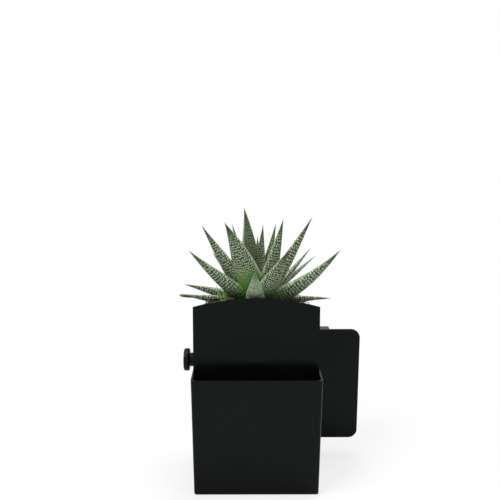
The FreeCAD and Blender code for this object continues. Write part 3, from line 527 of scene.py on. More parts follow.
@dataclass(frozen=True)
class LeafFinish:
    """Haworthia leaf: green flesh, pale bumps in rows, pale toothed margins and a warm tip."""

    name: str
    deep: Colour
    fresh: Colour
    pale: Colour
    tip: Colour
    bump: Colour
    row_mm: float
    dot_mm: float
    banding: float
    dot_size: float
    amount: float = 1.0
    tip_start: float = 0.9
    bare_base: float = 0.12
    roughness: float = 0.46

    def build(self, effects: Effects) -> Material:
        """Build the material from the leaf's own maps of face, length and margin.

        Args:
            effects: The shared node groups.

        Returns:
            The material.
        """
        material, tree, shader = new_material(self.name)
        rows = use_group(tree, effects.rows, {
            "Across": self.dot_mm, "Along": self.row_mm, "Banding": self.banding, "Size": self.dot_size})
        along, outer, margin = (leaf_map(tree, name) for name in ("along", "outer", "margin"))
        place = object_place(tree)
        cloud = speckle(tree, place, 90.0, 3.0, 0.55)
        greening = spread(tree, along, self.bare_base, self.bare_base + 0.34)
        tone = blend_colours(tree, greening, self.fresh, self.deep)
        tone = blend_colours(tree, spread(tree, cloud, 0.4, 0.75, 0.0, 0.35), tone, self.pale)
        streak = spread(tree, rows.outputs["Streak"], 0.35, 0.7, 0.0, 0.28)
        tone = blend_colours(tree, streak, tone, self.deep)
        tone = blend_colours(tree, spread(tree, along, self.tip_start, 1.0), tone, self.tip)
        face = spread(tree, outer, 0.35, 0.6, 0.55, 1.0)
        share = reckon(tree, "MULTIPLY", rows.outputs["Mask"], reckon(tree, "MULTIPLY", face, self.amount))
        share = reckon(tree, "MULTIPLY", share, spread(tree, along, 0.93, 0.7))
        bare = spread(tree, along, self.bare_base, self.bare_base + 0.26, 0.06, 1.0)
        share = reckon(tree, "MULTIPLY", share, bare)
        teeth = reckon(tree, "MULTIPLY", spread(tree, margin, 0.55, 0.85), 0.45)
        share = reckon(tree, "MAXIMUM", share, teeth)
        join(tree, blend_colours(tree, share, tone, self.bump), shader.inputs["Base Color"])
        rough = spread(tree, share, 0.0, 1.0, self.roughness, self.roughness + 0.14)
        join(tree, rough, shader.inputs["Roughness"])
        shader.inputs["Specular IOR Level"].default_value = 0.3
        shader.inputs["Subsurface Weight"].default_value = 0.08
        shader.inputs["Subsurface Scale"].default_value = 0.002
        fine = speckle(tree, place, 1500.0, 2.0, 0.5)
        height = reckon(tree, "ADD", share, reckon(tree, "MULTIPLY", fine, 0.12))
        raise_bump(tree, shader, height, 0.3 * MM)
        return material


@dataclass(frozen=True)
class DryLeafFinish:
    """Papery brown leaf with lengthwise veins."""

    name: str
    brown: Colour
    straw: Colour

    def build(self, effects: Effects) -> Material:
        """Build the material.

        Args:
            effects: The shared node groups.

        Returns:
            The material.
        """
        material, tree, shader = new_material(self.name)
        rows = use_group(tree, effects.rows, {})
        along = leaf_map(tree, "along")
        place = object_place(tree)
        patch = speckle(tree, place, 240.0, 4.0, 0.6)
        tone = blend_colours(tree, spread(tree, rows.outputs["Streak"], 0.3, 0.7), self.brown, self.straw)
        tone = blend_colours(tree, spread(tree, patch, 0.45, 0.75, 0.0, 0.8), tone,
                             tuple(0.4 * part for part in self.brown))
        tone = blend_colours(tree, spread(tree, along, 0.55, 1.0, 0.0, 0.6), tone,
                             tuple(0.5 * part for part in self.brown))
        join(tree, tone, shader.inputs["Base Color"])
        join(tree, spread(tree, patch, 0.2, 0.8, 0.6, 0.85), shader.inputs["Roughness"])
        height = reckon(tree, "ADD", rows.outputs["Streak"], patch)
        raise_bump(tree, shader, height, 0.4 * MM)
        return material


BLACK_COAT = MouldedFinish("black_powder_coat", (0.0014, 0.0018, 0.0017), 0.21, 1150.0, 0.006, 0.115,
                           fleck=0.011, sheen_tint=(0.88, 1.0, 0.97))
KNOB_GLOSS = MouldedFinish("knob_gloss_plastic", (0.002, 0.002, 0.0022), 0.24, 700.0, 0.004, 0.14, 60.0, 0.1,
                           fleck=0.01)
PAD_PLASTIC = MouldedFinish("swivel_pad_plastic", (0.05, 0.05, 0.052), 0.55, 1300.0, 0.03, 0.3)
LINER_PLASTIC = MouldedFinish("liner_brown_plastic", (0.03, 0.024, 0.019), 0.55, 800.0, 0.04, 0.35)
BUMPER_RUBBER = MouldedFinish("bumper_rubber", (0.028, 0.028, 0.029), 0.8, 1600.0, 0.05, 0.25, 90.0, 0.5)
ZINC = SteelFinish("zinc_plate", (0.56, 0.57, 0.6), (0.4, 0.41, 0.43), 0.34, (60.0, 1500.0, 1500.0))
RIVET = SteelFinish("rivet_steel", (0.48, 0.48, 0.49), (0.3, 0.29, 0.28), 0.3, (900.0, 900.0, 900.0))
BLACK_OXIDE = SteelFinish("black_oxide_steel", (0.01, 0.01, 0.011), (0.025, 0.022, 0.02), 0.38,
                          (900.0, 300.0, 900.0))
STUD = SteelFinish("black_zinc_thread", (0.03, 0.03, 0.033), (0.07, 0.066, 0.06), 0.34, (300.0, 900.0, 900.0),
                   0.7)
BOSS = SteelFinish("black_zinc_boss", (0.01, 0.01, 0.011), (0.022, 0.021, 0.02), 0.4, (300.0, 900.0, 900.0))
SOIL = SoilFinish("potting_mix", (0.05, 0.027, 0.016), (0.19, 0.105, 0.06))
BARK = SoilFinish("bark_crumbs", (0.1, 0.055, 0.032), (0.34, 0.2, 0.12), 700.0)
DRY = DryLeafFinish("dry_leaf_papery", (0.1, 0.055, 0.035), (0.3, 0.2, 0.13))

DEEP_GREEN: Colour = (0.022, 0.06, 0.012)
FRESH_GREEN: Colour = (0.048, 0.125, 0.022)
BRIGHT_GREEN: Colour = (0.075, 0.26, 0.02)
PALE_GREEN: Colour = (0.062, 0.115, 0.045)
WARM_TIP: Colour = (0.17, 0.15, 0.06)
BUMP_WHITE: Colour = (0.55, 0.63, 0.45)
FROSTED: Colour = (0.15, 0.21, 0.12)


def leaf_finish(name: str, banding: Band, row_mm: float, fresh: Colour = FRESH_GREEN,
                tip: Colour = WARM_TIP, dot_size: float = 0.33, bare_base: float = 0.12) -> LeafFinish:
    """Return a haworthia leaf's finish.

    Args:
        name: The material's name.
        banding: How the bumps lie.
        row_mm: Distance of the rows.
        fresh: Colour near the root.
        tip: Colour of the tip.
        dot_size: Radius of a bump as a share of its cell.
        bare_base: Share of the leaf at its root with hardly any bumps.

    Returns:
        The finish.
    """
    return LeafFinish(name, DEEP_GREEN, fresh, PALE_GREEN, tip, BUMP_WHITE, row_mm, row_mm * 0.66,
                      banding.value, dot_size, bare_base=bare_base)


LEAF_DOTS = leaf_finish("leaf_fine_dots", Band.DOTS, 1.8, dot_size=0.3)
LEAF_ROWS = leaf_finish("leaf_dot_rows", Band.ROWS, 2.0, dot_size=0.29)
LEAF_STRIPES = leaf_finish("leaf_stripes", Band.STRIPES, 2.3, dot_size=0.28)
LEAF_BRIGHT_BASE = leaf_finish("leaf_bright_base", Band.DOTS, 1.9, BRIGHT_GREEN, dot_size=0.32,
                               bare_base=0.17)
LEAF_BROWN_TIP = leaf_finish("leaf_brown_tip", Band.ROWS, 1.9, tip=(0.2, 0.1, 0.05), dot_size=0.29)
LEAF_FROSTED = LeafFinish("leaf_frosted_small", FROSTED, FROSTED, PALE_GREEN, WARM_TIP, BUMP_WHITE, 1.7, 1.15,
                          0.5, 0.36, bare_base=0.0)
LEAF_YELLOW_TIP = leaf_finish("leaf_yellow_tip", Band.ROWS, 2.0, tip=(0.45, 0.5, 0.08), dot_size=0.28)
PUP = LeafFinish("pup_bright_leaf", (0.14, 0.42, 0.03), (0.2, 0.5, 0.05), (0.25, 0.5, 0.1), (0.3, 0.5, 0.12),
                 (0.7, 0.8, 0.6), 1.3, 1.0, 0.0, 0.22, 0.45)


# Mesh helpers

def mesh_object(name: str, points: Sequence[Vector], faces: Sequence[Sequence[int]],
                material: Material) -> bpy.types.Object:
    """Make a smooth mesh object in the row frame.

    Args:
        name: The piece's name.
        points: Vertices in metres.
        faces: Vertex indices of each face.
        material: Its finish.

    Returns:
        The object, linked into the scene.
    """
    mesh = bpy.data.meshes.new(name)
    mesh.from_pydata([tuple(point) for point in points], [], faces)
    mesh.validate()
    mesh.shade_smooth()
    mesh.materials.append(material)
    made = bpy.data.objects.new(name, mesh)
    bpy.context.scene.collection.objects.link(made)
    return made


def ring_faces(rings: int, around: int) -> list[list[int]]:
    """List the quads between closed rings of equal length, and caps at both ends.

    Args:
        rings: Number of rings.
        around: Points in each ring.

    Returns:
        The faces.
    """
    faces = [
        [low + k, low + (k + 1) % around, low + around + (k + 1) % around, low + around + k]
        for low in range(0, (rings - 1) * around, around) for k in range(around)
    ]
    faces.append(list(range(around))[::-1])
    faces.append([(rings - 1) * around + k for k in range(around)])
    return faces


def drift(point: Vector) -> Vector:
    """Return a smooth push for a point, the same on every run, with each part between -1 and 1."""
    return Vector([noise.noise(point + shift) for shift in DRIFT_SHIFTS])


def recolour(node: str, material: Material) -> None:
    """Give a carried-over node its finish.

    Args:
        node: The node's name.
        material: The finish.
    """
    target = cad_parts[node]
    if not target.material_slots:
        target.data.materials.append(material)
    for slot in target.material_slots:
        slot.material = material
    log.info("dressed %s with %s", node, material.name)


# Sheet metal and hardware

@dataclass
class SheetMetal:
    """The folded sheets of the pot, the pocket and the hanging plate."""

    effects: Effects
    nodes: tuple[str, ...] = ("arch_panel", "pot_body", "pot_floor", "pocket_front", "hanger_plate")

    def build(self) -> None:
        """Coat every sheet."""
        coat = BLACK_COAT.build(self.effects)
        for node in self.nodes:
            recolour(node, coat)


@dataclass
class Hardware:
    """Fasteners, wall cleat, thumb screw, pad and liner."""

    effects: Effects
    head_radius_mm: float = 3.25
    head_height_mm: float = 2.2
    shank_radius_mm: float = 1.5
    shank_length_mm: float = 7.5
    recess_width_mm: float = 0.95
    recess_reach_mm: float = 1.55
    recess_depth_mm: float = 1.3
    recess_rings: int = 24
    thread_pitch_mm: float = 0.5
    around: int = 96

    DOME = ((0.97, 0.62), (0.88, 0.77), (0.72, 0.89), (0.52, 0.97), (0.35, 1.0))
    THREAD = (0.0, 0.11, 0.2, 0.11)

    def build(self) -> None:
        """Dress the hardware and build the bumper screws."""
        finishes = {
            "wall_cleat": ZINC, "back_rivets": RIVET, "clamp_nut": BOSS, "thumb_screw_head": KNOB_GLOSS,
            "thumb_screw_stud": STUD, "clamp_pad": PAD_PLASTIC, "wall_bumpers": BUMPER_RUBBER,
            "liner": LINER_PLASTIC,
        }
        for node, finish in finishes.items():
            recolour(node, finish.build(self.effects))
        self.bumper_screws(BLACK_OXIDE.build(self.effects))

    def screw_profile(self) -> list[tuple[float, float]]:
        """List (distance from the head's seat, radius) of a pan-head screw with a threaded shank."""
        high, wide, shank = self.head_height_mm, self.head_radius_mm, self.shank_radius_mm
        stations = [(-high, wide * (0.02 + 0.48 * ring / self.recess_rings))
                    for ring in range(self.recess_rings + 1)]
        stations += [(-high * up, wide * out) for up, out in self.DOME]
        stations += [(-0.08, wide), (-0.001, wide * 0.99), (0.0, shank)]
        quarter_pitch = self.thread_pitch_mm / 4
        for step in range(int((self.shank_length_mm - 0.6) / quarter_pitch) + 1):
            stations.append((0.2 + step * quarter_pitch, shank - self.THREAD[step % 4]))
        stations += [(self.shank_length_mm - 0.25, shank * 0.8), (self.shank_length_mm, shank * 0.5),
                     (self.shank_length_mm, shank * 0.02)]
        return stations

    def recess(self, across: float, up: float) -> float:
        """Return the depth of the tapered cross recess at a place on a screw's head.

        Args:
            across: Distance from the screw's axis along one arm, in millimetres.
            up: Distance from the axis along the other arm, in millimetres.

        Returns:
            The depth in millimetres.
        """
        depth = 0.0
        for far, beside in ((abs(across), abs(up)), (abs(up), abs(across))):
            run_out = min(max((self.recess_reach_mm - far) / 0.5, 0.0), 1.0)
            side = min(max((self.recess_width_mm / 2 - beside) / 0.1, 0.0), 1.0)
            depth = max(depth, self.recess_depth_mm * run_out * side)
        return depth

    def bumper_screws(self, material: Material) -> None:
        """Replace the plain screws by pan-head screws with a cross recess and a thread.

        Args:
            material: Their finish.
        """
        low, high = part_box("bumper_screws")
        seat_y = low.y + self.head_height_mm * MM
        middle_z = (low.z + high.z) / 2
        profile = self.screw_profile()
        places = (low.x + self.head_radius_mm * MM, high.x - self.head_radius_mm * MM)
        for tag, x, turn in zip(("left", "right"), places, (0.3, 1.05)):
            points = []
            for station, (along, radius) in enumerate(profile):
                for k in range(self.around):
                    angle = TURN * k / self.around
                    deep = along
                    if station <= self.recess_rings:
                        deep += self.recess(radius * math.cos(angle - turn), radius * math.sin(angle - turn))
                    points.append(Vector((x + radius * MM * math.cos(angle), seat_y + deep * MM,
                                          middle_z + radius * MM * math.sin(angle))))
            faces = ring_faces(len(profile), self.around)
            screw = mesh_object(f"bumper_screw_{tag}", points, faces, material)
            shape = bmesh.new()
            shape.from_mesh(screw.data)
            bmesh.ops.recalc_face_normals(shape, faces=shape.faces)
            shape.to_mesh(screw.data)
            shape.free()
            screw.data.set_sharp_from_angle(angle=math.radians(35))
            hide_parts("bumper_screws")
            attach(screw, "planter")
            log.info("built %s", screw.name)


# Potting soil

@dataclass
class PottingSoil:
    """Crumbly mix that fills the liner, heaped over its lip, with loose bark on top."""

    effects: Effects
    heap_slope: float = 38.0
    draft: float = 1.0
    squareness: float = 7.0
    mouth_z: float = 117.0
    lip_z: float = 119.0
    crest_z: float = 130.4
    top_z: float = 130.9
    crumb_z: float = 119.6
    crumb_rise: float = 11.2
    crumbs_on_top: float = 0.55
    wall_z: tuple[float, ...] = (5.5, 30.0, 60.0, 90.0, 110.0, 118.9)
    slope_rings: int = 17
    top_rings: int = 24
    mouth: Triple = (37.3, -10.5, 24.2)
    heap_foot: Triple = (41.5, -12.3, 26.0)
    around: int = 220
    crumb_count: int = 620
    seed: int = 41
    litter: tuple[tuple[float, float, float, float, float, int], ...] = (
        (-33.0, 1.0, 132.5, 6.5, 7.5, 230),
        (-18.5, -3.5, 132.5, 4.5, 9.0, 170),
        (12.5, -5.0, 132.5, 3.5, 8.5, 130),
        (35.0, 1.5, 131.5, 6.0, 6.0, 170),
    )

    LUMPS = ((0.16, 1.0), (0.55, 0.75), (1.6, 0.3))

    def outline(self, z_mm: float) -> Triple:
        """Return the half width, front Y and back Y of the soil at a height, in millimetres."""
        if z_mm <= self.lip_z:
            half, front, back = self.mouth
            inset = (self.mouth_z - z_mm) * math.tan(math.radians(self.draft))
        else:
            half, front, back = self.heap_foot
            inset = (z_mm - self.lip_z) * math.tan(math.radians(self.heap_slope))
        return half - inset, front + inset, back - inset

    def ring(self, outline: Triple, z_mm: float) -> list[Vector]:
        """List the points of a rounded rectangle.

        Args:
            outline: Half width, front Y and back Y.
            z_mm: Height.

        Returns:
            Its points, in millimetres.
        """
        half, front, back = outline
        middle, deep = (front + back) / 2, (back - front) / 2
        points = []
        for k in range(self.around):
            angle = TURN * k / self.around
            x, y = math.cos(angle), math.sin(angle)
            reach = (abs(x) ** self.squareness + abs(y) ** self.squareness) ** (-1 / self.squareness)
            points.append(Vector((x * reach * half, middle + y * reach * deep, z_mm)))
        return points

    def lumps(self, point: Vector, share: float) -> Vector:
        """Push a point of the heap about, as crumbs would.

        Args:
            point: The point in millimetres.
            share: Strength from 0 to 1.

        Returns:
            The moved point.
        """
        moved = Vector((0.0, 0.0, 0.0))
        for scale, strength in self.LUMPS:
            moved += drift(point * scale) * strength
        moved *= share
        moved.z = min(moved.z, 0.6) - 0.5 * share
        return point + moved

    def build(self) -> None:
        """Build the soil and the crumbs on it."""
        rings = [self.ring(self.outline(z), z) for z in self.wall_z]
        for step in range(self.slope_rings):
            z, share = 119.15 + step * 0.7, min(1.0, 0.35 + step * 0.12)
            rings.append([self.lumps(p, share) for p in self.ring(self.outline(z), z)])
        outline = self.outline(self.crest_z)
        middle = Vector((0.0, (outline[1] + outline[2]) / 2))
        for step in range(1, self.top_rings):
            share = 1 - step / self.top_rings
            rings.append([self.lumps(Vector((*(middle + (p.xy - middle) * share), self.top_z)), 1.0)
                          for p in self.ring(outline, self.crest_z)])
        points = [p * MM for ring in rings for p in ring]
        soil = mesh_object("soil_heap", points, ring_faces(len(rings), self.around), SOIL.build(self.effects))
        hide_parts("potting_soil")
        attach(soil, "liner")
        log.info("built soil_heap")
        self.crumbs()

    def crumbs(self) -> None:
        """Scatter irregular crumbs of bark and peat over the heap."""
        dice = random.Random(self.seed)
        points, faces = [], []
        half, front, back = self.outline(self.crest_z)
        for _ in range(self.crumb_count):
            z = self.crumb_z + self.crumb_rise * math.sqrt(dice.random())
            angle = dice.uniform(0, TURN)
            spot = self.ring(self.outline(z), z)[int(angle / TURN * self.around) % self.around]
            if dice.random() < self.crumbs_on_top:
                inward = dice.random() ** 0.8
                spot = Vector((dice.uniform(-1, 1) * half * inward, dice.uniform(front, back), self.top_z - 0.1))
            self.add_crumb(points, faces, dice, spot)
        for x, y, z, spread_mm, height, count in self.litter:
            for _ in range(count):
                angle, out = dice.uniform(0, TURN), math.sqrt(dice.random())
                rise = dice.random() * height * (1.0 - out ** 2)
                self.add_crumb(points, faces, dice, Vector((
                    x + spread_mm * out * math.cos(angle), y + 0.7 * spread_mm * out * math.sin(angle),
                    z - 1.5 + rise)))
        crumbs = mesh_object("soil_crumbs", points, faces, BARK.build(self.effects))
        crumbs.data.set_sharp_from_angle(angle=math.radians(28))
        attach(crumbs, "liner")
        log.info("built soil_crumbs")

    def add_crumb(self, points: list[Vector], faces: list[list[int]], dice: random.Random,
                  spot: Vector) -> None:
        """Add one irregular crumb to the lists.

        Args:
            points: Vertices in metres, added to.
            faces: Faces, added to.
            dice: The seeded source of chance.
            spot: The crumb's place in millimetres.
        """
        size = dice.uniform(0.35, 1.0)
        shape = bmesh.new()
        bmesh.ops.create_icosphere(shape, subdivisions=1, radius=1.0)
        axis = (dice.random(), dice.random(), dice.random() + 0.1)
        turn = Matrix.Rotation(dice.uniform(0, TURN), 3, axis)
        stretch = Vector((dice.uniform(0.7, 1.7), dice.uniform(0.6, 1.1), dice.uniform(0.4, 0.9)))
        base = len(points)
        for vert in shape.verts:
            rough = 1.0 + 0.35 * noise.noise(vert.co * 2.1 + spot)
            points.append((spot + turn @ (vert.co * stretch * size * rough)) * MM)
        faces += [[base + vert.index for vert in face.verts] for face in shape.faces]
        shape.free()


# Haworthia

def map_leaf(mesh: bpy.types.Mesh, marks: Sequence[tuple[float, ...]]) -> None:
    """Write a leaf's UV map and its maps of length, face and margin.

    Args:
        mesh: The leaf's mesh.
        marks: Across, along, share of the length, outer face and margin of each point.
    """
    for column, label in ((2, "along"), (3, "outer"), (4, "margin")):
        values = mesh.attributes.new(label, "FLOAT", "POINT")
        values.data.foreach_set("value", [mark[column] for mark in marks])
    uv_map = mesh.uv_layers.new(name="leaf")
    for loop in mesh.loops:
        mark = marks[loop.vertex_index]
        uv_map.data[loop.index].uv = (mark[0] * UV_PER_MM, mark[1] * UV_PER_MM)


@dataclass
class Leaf:
    """One leaf: direction, reach, rise, root width, sag, root height and roll, as the solid has them."""

    name: str
    row: tuple[float, float, float, float, float, float, float]
    root: Vector
    root_reach: float
    slot: Slot = Slot.LEAF
    taper: float = 1.1
    fullness: float = 0.4
    hollow: float = 0.08
    stations: int = 110
    across: int = 12
    tooth_mm: float = 0.16
    tip_half_mm: float = 0.12
    tooth_gap_mm: float = 1.5
    blunt_mm: float = 0.0
    blunt_share: float = 0.06

    def half_width(self, share: float) -> float:
        """Return half the leaf's width at a share of its length, in millimetres."""
        plain = max(self.row[3] / 2 * max(math.cos(math.pi / 2 * share), 0.0) ** self.taper, self.tip_half_mm)
        run_out = max((share - (1.0 - self.blunt_share)) / self.blunt_share, 0.0)
        rounded = self.blunt_mm * math.sqrt(max(1.0 - run_out ** 2, 0.0))
        return max(plain, rounded)

    def build(self, material: Material) -> bpy.types.Object:
        """Build the leaf's mesh with its maps and let it replace its solid.

        Args:
            material: The finish.

        Returns:
            The leaf.
        """
        direction, reach, rise, _width, sag, root_rise, roll = self.row
        angle, up = math.radians(direction), Vector((0, 0, 1))
        outward = Vector((math.cos(angle), math.sin(angle), 0))
        side = up.cross(outward)
        start = self.root + outward * self.root_reach + up * root_rise
        tip = self.root + outward * reach + up * rise
        below = side.cross(tip - start).normalized()
        if below.z > 0:
            below = -below
        handle = (start + tip) * 0.5 + below * (2 * sag)
        length = (handle - start).length + (tip - handle).length
        points, marks = [], []
        ring = 2 * self.across
        for step in range(self.stations):
            share = step / (self.stations - 1)
            centre = start * (1 - share) ** 2 + handle * (2 * share * (1 - share)) + tip * share ** 2
            tangent = ((handle - start) * (1 - share) + (tip - handle) * share).normalized()
            cross = side.cross(tangent)
            normal = cross if cross.dot(below) < 0 else -cross
            turn = Matrix.Rotation(math.radians(math.copysign(roll, cross.dot(normal) * side.y)), 3, tangent)
            lateral, lift = turn @ side, turn @ normal
            half = self.half_width(share)
            depth = 2 * half * self.fullness + min(0.25, half)
            tooth = self.tooth_mm * abs(math.sin(share * length * math.pi / self.tooth_gap_mm)) ** 3
            for k in range(ring):
                phi = math.pi * (k % self.across) / self.across
                lower = k >= self.across
                x = math.cos(phi) * (-1 if lower else 1)
                bulge = math.sin(phi)
                reach_out = half + (tooth if k % self.across == 0 and 0.02 < share < 0.97 else 0.0)
                offset = -lift * (bulge ** 0.85 * depth) if lower else -lift * (bulge * self.hollow * half)
                points.append((centre + lateral * (x * reach_out) + offset) * MM)
                arc = half * (1.25 if lower else 1.0)
                marks.append((x * arc, share * length, share, 1.0 if lower else 0.0, 1.0 - bulge))
        leaf = mesh_object(self.name + "_flesh", points, ring_faces(self.stations, ring), material)
        map_leaf(leaf.data, marks)
        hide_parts(self.name)
        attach(leaf, "liner")
        log.info("built %s", leaf.name)
        return leaf


@dataclass
class Rosette:
    """The zebra haworthia: crown, live leaves, dry leaves and a pup."""

    effects: Effects
    root: Vector = field(default_factory=lambda: Vector((0.5, 7.0, 134.0)))
    pup_root: Vector = field(default_factory=lambda: Vector((-22.5, 0.0, 129.5)))
    crown_z: float = 131.0
    crown_height: float = 19.0
    crown_radius: float = 8.6
    crown_taper: float = 4.5

    LIVE = {
        "leaf_back_tall": ((136, 13, 69, 21.0, -2.5, 6.0, 0), LEAF_DOTS),
        "leaf_front_broad": ((230, 35, 63, 21.0, -2.2, 8.0, 30), LEAF_BRIGHT_BASE),
        "leaf_back_slim_left": ((147, 22, 56.5, 11.0, -0.5, 7.0, 10), LEAF_DOTS),
        "leaf_left_high": ((200, 41.5, 59, 15.5, 0.5, 4.0, 38), LEAF_ROWS),
        "leaf_left_short": ((147, 40.5, 32.5, 12.0, 0.0, 4.0, 20), LEAF_DOTS),
        "leaf_left_long": ((205, 52.5, 42.5, 15.5, 1.2, 2.0, 40), LEAF_STRIPES),
        "leaf_left_flat": ((170, 55.5, 10.5, 15.0, -0.8, 1.0, 40), LEAF_ROWS),
        "leaf_left_lowest": ((184, 57, 6, 13.0, -0.3, 0.0, 40), LEAF_ROWS),
        "leaf_front_small": ((266, 27, 28.5, 16.0, 1.2, 0.0, 0), LEAF_FROSTED),
        "leaf_front_right": ((304, 39, 45.5, 16.5, 0.0, 3.0, 20), LEAF_BROWN_TIP),
        "leaf_back_slim_middle": ((77, 22.5, 54.5, 10.0, 0.0, 7.0, 0), LEAF_DOTS),
        "leaf_back_slim_low": ((88, 30, 44.5, 8.0, 0.5, 6.0, 0), LEAF_DOTS),
        "leaf_back_slim_right": ((58, 28, 55, 11.0, 0.8, 6.0, 10), LEAF_DOTS),
        "leaf_right_upright": ((332, 21, 63, 15.0, 0.7, 7.0, 25), LEAF_ROWS),
        "leaf_right_high": ((351, 40, 64, 14.5, 0.5, 4.0, 40), LEAF_STRIPES),
        "leaf_right_short": ((26, 45.5, 36, 14.0, 0.5, 3.0, 25), LEAF_ROWS),
        "leaf_right_back": ((33, 55, 28.5, 10.5, 0.5, 3.0, 20), LEAF_DOTS),
        "leaf_right_long": ((345, 61, 42, 18.5, 4.0, 1.0, 38), LEAF_STRIPES),
        "leaf_right_lowest": ((6, 56.5, 0.5, 12.5, -1.5, 0.0, 36), LEAF_YELLOW_TIP),
        "leaf_rear_left": ((122, 34, 20, 13.0, 2.0, 2.0, 0), LEAF_ROWS),
        "leaf_rear_middle": ((92, 29, 15, 13.5, 2.0, 1.0, 0), LEAF_ROWS),
        "leaf_rear_right": ((58, 34, 19, 13.0, 2.0, 2.0, 0), LEAF_STRIPES),
        "leaf_rear_inner_left": ((112, 27, 37, 12.0, 1.5, 5.0, 0), LEAF_ROWS),
        "leaf_rear_inner_right": ((70, 27, 34, 12.0, 1.5, 5.0, 0), LEAF_ROWS),
    }
    BLUNT = {"leaf_left_lowest": 1.7}
    WITHERED = {
        "dry_leaf_left": (196, 38, 4.0, 9.0, -2.0, 0.0, 20),
        "dry_leaf_left_rear": (156, 36, 1.0, 8.0, -2.0, 0.0, 0),
        "dry_leaf_right": (345, 36, 3.5, 9.0, -2.0, 0.0, 20),
        "dry_leaf_right_rear": (23, 37, 0.5, 8.0, -2.0, 0.0, 0),
    }
    YOUNG = {
        "pup_leaf_left": (191, 6.4, 18.2, 5.6, 0.3, 0.0, 20),
        "pup_leaf_right": (280, 1.0, 21.6, 5.4, 0.1, 0.0, 0),
    }

    def build(self) -> None:
        """Build every leaf and the crown."""
        made: dict[str, Material] = {}

        def finish_of(finish: Finish) -> Material:
            """Return the finish's material, built once."""
            if finish.name not in made:
                made[finish.name] = finish.build(self.effects)
            return made[finish.name]

        for name, (row, finish) in self.LIVE.items():
            blunt = self.BLUNT.get(name, 0.0)
            Leaf(name, row, self.root, 4.5, blunt_mm=blunt).build(finish_of(finish))
        for name, row in self.WITHERED.items():
            leaf = Leaf(name, row, self.root, 9.0, Slot.DRY_LEAF, tooth_mm=0.3, fullness=0.25)
            leaf.build(finish_of(DRY))
        for name, row in self.YOUNG.items():
            Leaf(name, row, self.pup_root, 0.0, Slot.PUP, stations=60, tooth_mm=0.05).build(finish_of(PUP))
        self.crown(finish_of(DRY))

    def crown(self, dry: Material) -> None:
        """Build the short stem with the scales of old leaf bases round it.

        Args:
            dry: The dry leaves' finish.
        """
        around, rings, points = 96, 30, []
        for step in range(rings):
            share = step / (rings - 1)
            for k in range(around):
                angle = TURN * k / around
                scale = 0.35 * math.sin(angle * 9 + step * 1.3) + 0.3 * math.sin(step * 1.7 + angle * 5)
                radius = self.crown_radius - self.crown_taper * share + scale * 0.6
                points.append(Vector((self.root.x + radius * math.cos(angle),
                                      self.root.y + radius * math.sin(angle),
                                      self.crown_z + self.crown_height * share)) * MM)
        crown = mesh_object("crown_stem", points, ring_faces(rings, around), dry)
        map_leaf(crown.data, [(0.0, i * 0.2, 0.3, 0.0, 0.0) for i in range(len(points))])
        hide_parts("plant_crown")
        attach(crown, "liner")
        log.info("built crown_stem")


# Studio

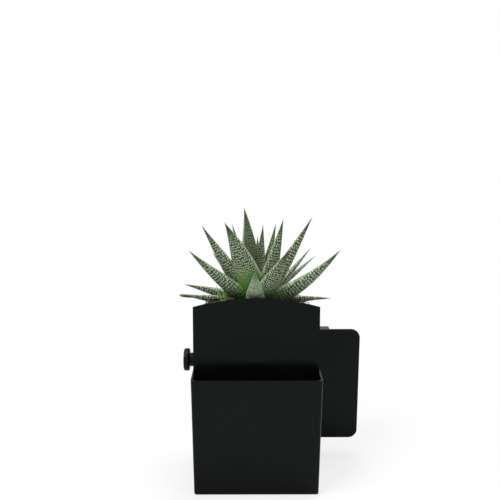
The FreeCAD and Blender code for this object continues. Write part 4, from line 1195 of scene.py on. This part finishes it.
@dataclass
class Studio:
    """Pale floor, white surroundings, soft lamps and the camera at the photograph's angle."""

    camera_mm: tuple[float, float, float] = (-5.8, -429.3, 255.6)
    yaw: float = 0.17
    pitch: float = 10.76
    lens_mm: float = 43.7
    surround: float = 0.24
    floor_tone: Colour = (0.86, 0.86, 0.86)
    floor_reach: float = 3.0
    floor_drop: float = 0.0002
    aim_z: float = 0.11
    lamps: tuple[tuple[str, tuple[float, float, float], float, float], ...] = (
        ("key_softbox", (-0.6, -0.5, 1.25), 0.6, 12.0),
        ("fill_softbox", (0.95, -0.75, 0.8), 0.8, 3.5),
        ("top_softbox", (0.15, 0.2, 1.3), 0.7, 10.0),
    )

    def build(self) -> None:
        """Build floor, world, lamps and camera."""
        self.world()
        self.floor()
        for name, place, side, power in self.lamps:
            lamp = bpy.data.lights.new(name, "AREA")
            lamp.shape, lamp.size, lamp.energy = "SQUARE", side, power
            holder = bpy.data.objects.new(name, lamp)
            holder.location = place
            aim = Vector((0.0, 0.0, self.aim_z)) - Vector(place)
            holder.rotation_euler = aim.to_track_quat("-Z", "Y").to_euler()
            bpy.context.scene.collection.objects.link(holder)
        camera = bpy.data.cameras.new("studio_camera")
        camera.lens, camera.sensor_width = self.lens_mm, 36.0
        holder = bpy.data.objects.new("studio_camera", camera)
        holder.location = Vector(self.camera_mm) * MM
        holder.rotation_euler = (math.radians(90.0 - self.pitch), 0.0, math.radians(-self.yaw))
        bpy.context.scene.collection.objects.link(holder)
        bpy.context.scene.camera = holder
        bpy.context.scene.view_settings.view_transform = "Standard"
        log.info("built studio")

    def seen_share(self, tree: Tree) -> Socket:
        """Return 1 where a ray comes from the camera, a gloss or a glass, and 0 elsewhere.

        Args:
            tree: The node tree.

        Returns:
            The share.
        """
        path = add_node(tree, "ShaderNodeLightPath")
        seen = reckon(tree, "MAXIMUM", path.outputs["Is Camera Ray"], path.outputs["Is Glossy Ray"])
        return reckon(tree, "MAXIMUM", seen, path.outputs["Is Transmission Ray"])

    def world(self) -> None:
        """Make the surroundings white to look at and plain grey as a lamp."""
        world = bpy.data.worlds.new("studio_world")
        world.use_nodes = True
        tree = world.node_tree
        tree.nodes.clear()
        mix = add_node(tree, "ShaderNodeMixShader")
        join(tree, self.seen_share(tree), mix.inputs[0])
        for socket, strength in ((mix.inputs[1], self.surround), (mix.inputs[2], 1.0)):
            sky = add_node(tree, "ShaderNodeBackground")
            sky.inputs["Color"].default_value = (1.0, 1.0, 1.0, 1.0)
            sky.inputs["Strength"].default_value = strength
            join(tree, sky.outputs[0], socket)
        join(tree, mix.outputs[0], add_node(tree, "ShaderNodeOutputWorld").inputs[0])
        bpy.context.scene.world = world

    def floor(self) -> None:
        """Make the plain pale floor, which keeps the object's shadow."""
        corners = [Vector((x * self.floor_reach, y * self.floor_reach, -self.floor_drop))
                   for x, y in ((-1, -1), (1, -1), (1, 1), (-1, 1))]
        floor = mesh_object("studio_floor", corners, [[0, 1, 2, 3]], self.floor_material())

    def floor_material(self) -> Material:
        """Build the floor's material, white to look at where no shadow lies, and dimmer near the object as
        reflections see it: a painted shade on the object's lower faces.

        Returns:
            The material.
        """
        material, tree, shader = new_material("studio_floor_pale")
        place = object_place(tree)
        mottle = spread(tree, speckle(tree, place, 3.0, 2.0), 0.3, 0.7, 0.985, 1.0)
        join(tree, blend_colours(tree, 1.0, self.floor_tone, mottle, "MULTIPLY"), shader.inputs["Base Color"])
        shader.inputs["Roughness"].default_value = 0.9
        shader.inputs["Specular IOR Level"].default_value = 0.0
        glow = add_node(tree, "ShaderNodeEmission")
        glow.inputs["Strength"].default_value = 1.0
        distance = add_node(tree, "ShaderNodeVectorMath", operation="LENGTH")
        join(tree, place, distance.inputs[0])
        paleness = spread(tree, distance.outputs["Value"], 0.12, 0.5, 0.72, 1.0)
        # painted shade: near the object the floor's glow fades out for gloss rays, so the object's lower faces
        # reflect a darker floor
        reflection_glow_share = spread(tree, distance.outputs["Value"], 0.05, 0.45, 0.0, 1.0)
        gloss = add_node(tree, "ShaderNodeLightPath").outputs["Is Glossy Ray"]
        paleness = reckon(tree, "MULTIPLY", paleness, spread(tree, gloss, 0.0, 1.0, 1.0, reflection_glow_share))
        mix = add_node(tree, "ShaderNodeMixShader")
        join(tree, reckon(tree, "MULTIPLY", self.seen_share(tree), paleness), mix.inputs[0])
        join(tree, shader.outputs[0], mix.inputs[1])
        join(tree, glow.outputs[0], mix.inputs[2])
        join(tree, mix.outputs[0], tree.nodes["Material Output"].inputs["Surface"])
        return material


def main() -> None:
    """Dress the frame, build the soil, the plant and the studio."""
    logging.basicConfig(level=logging.INFO, format="%(name)s: %(message)s")
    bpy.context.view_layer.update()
    effects = Effects()
    steps: Sequence[tuple[str, Callable[[], None]]] = (
        ("sheet metal", SheetMetal(effects).build),
        ("hardware", Hardware(effects).build),
        ("potting soil", PottingSoil(effects).build),
        ("rosette", Rosette(effects).build),
        ("studio", Studio().build),
    )
    for label, build in steps:
        build()
        log.info("finished the %s", label)


if __name__ == "__main__":
    main()
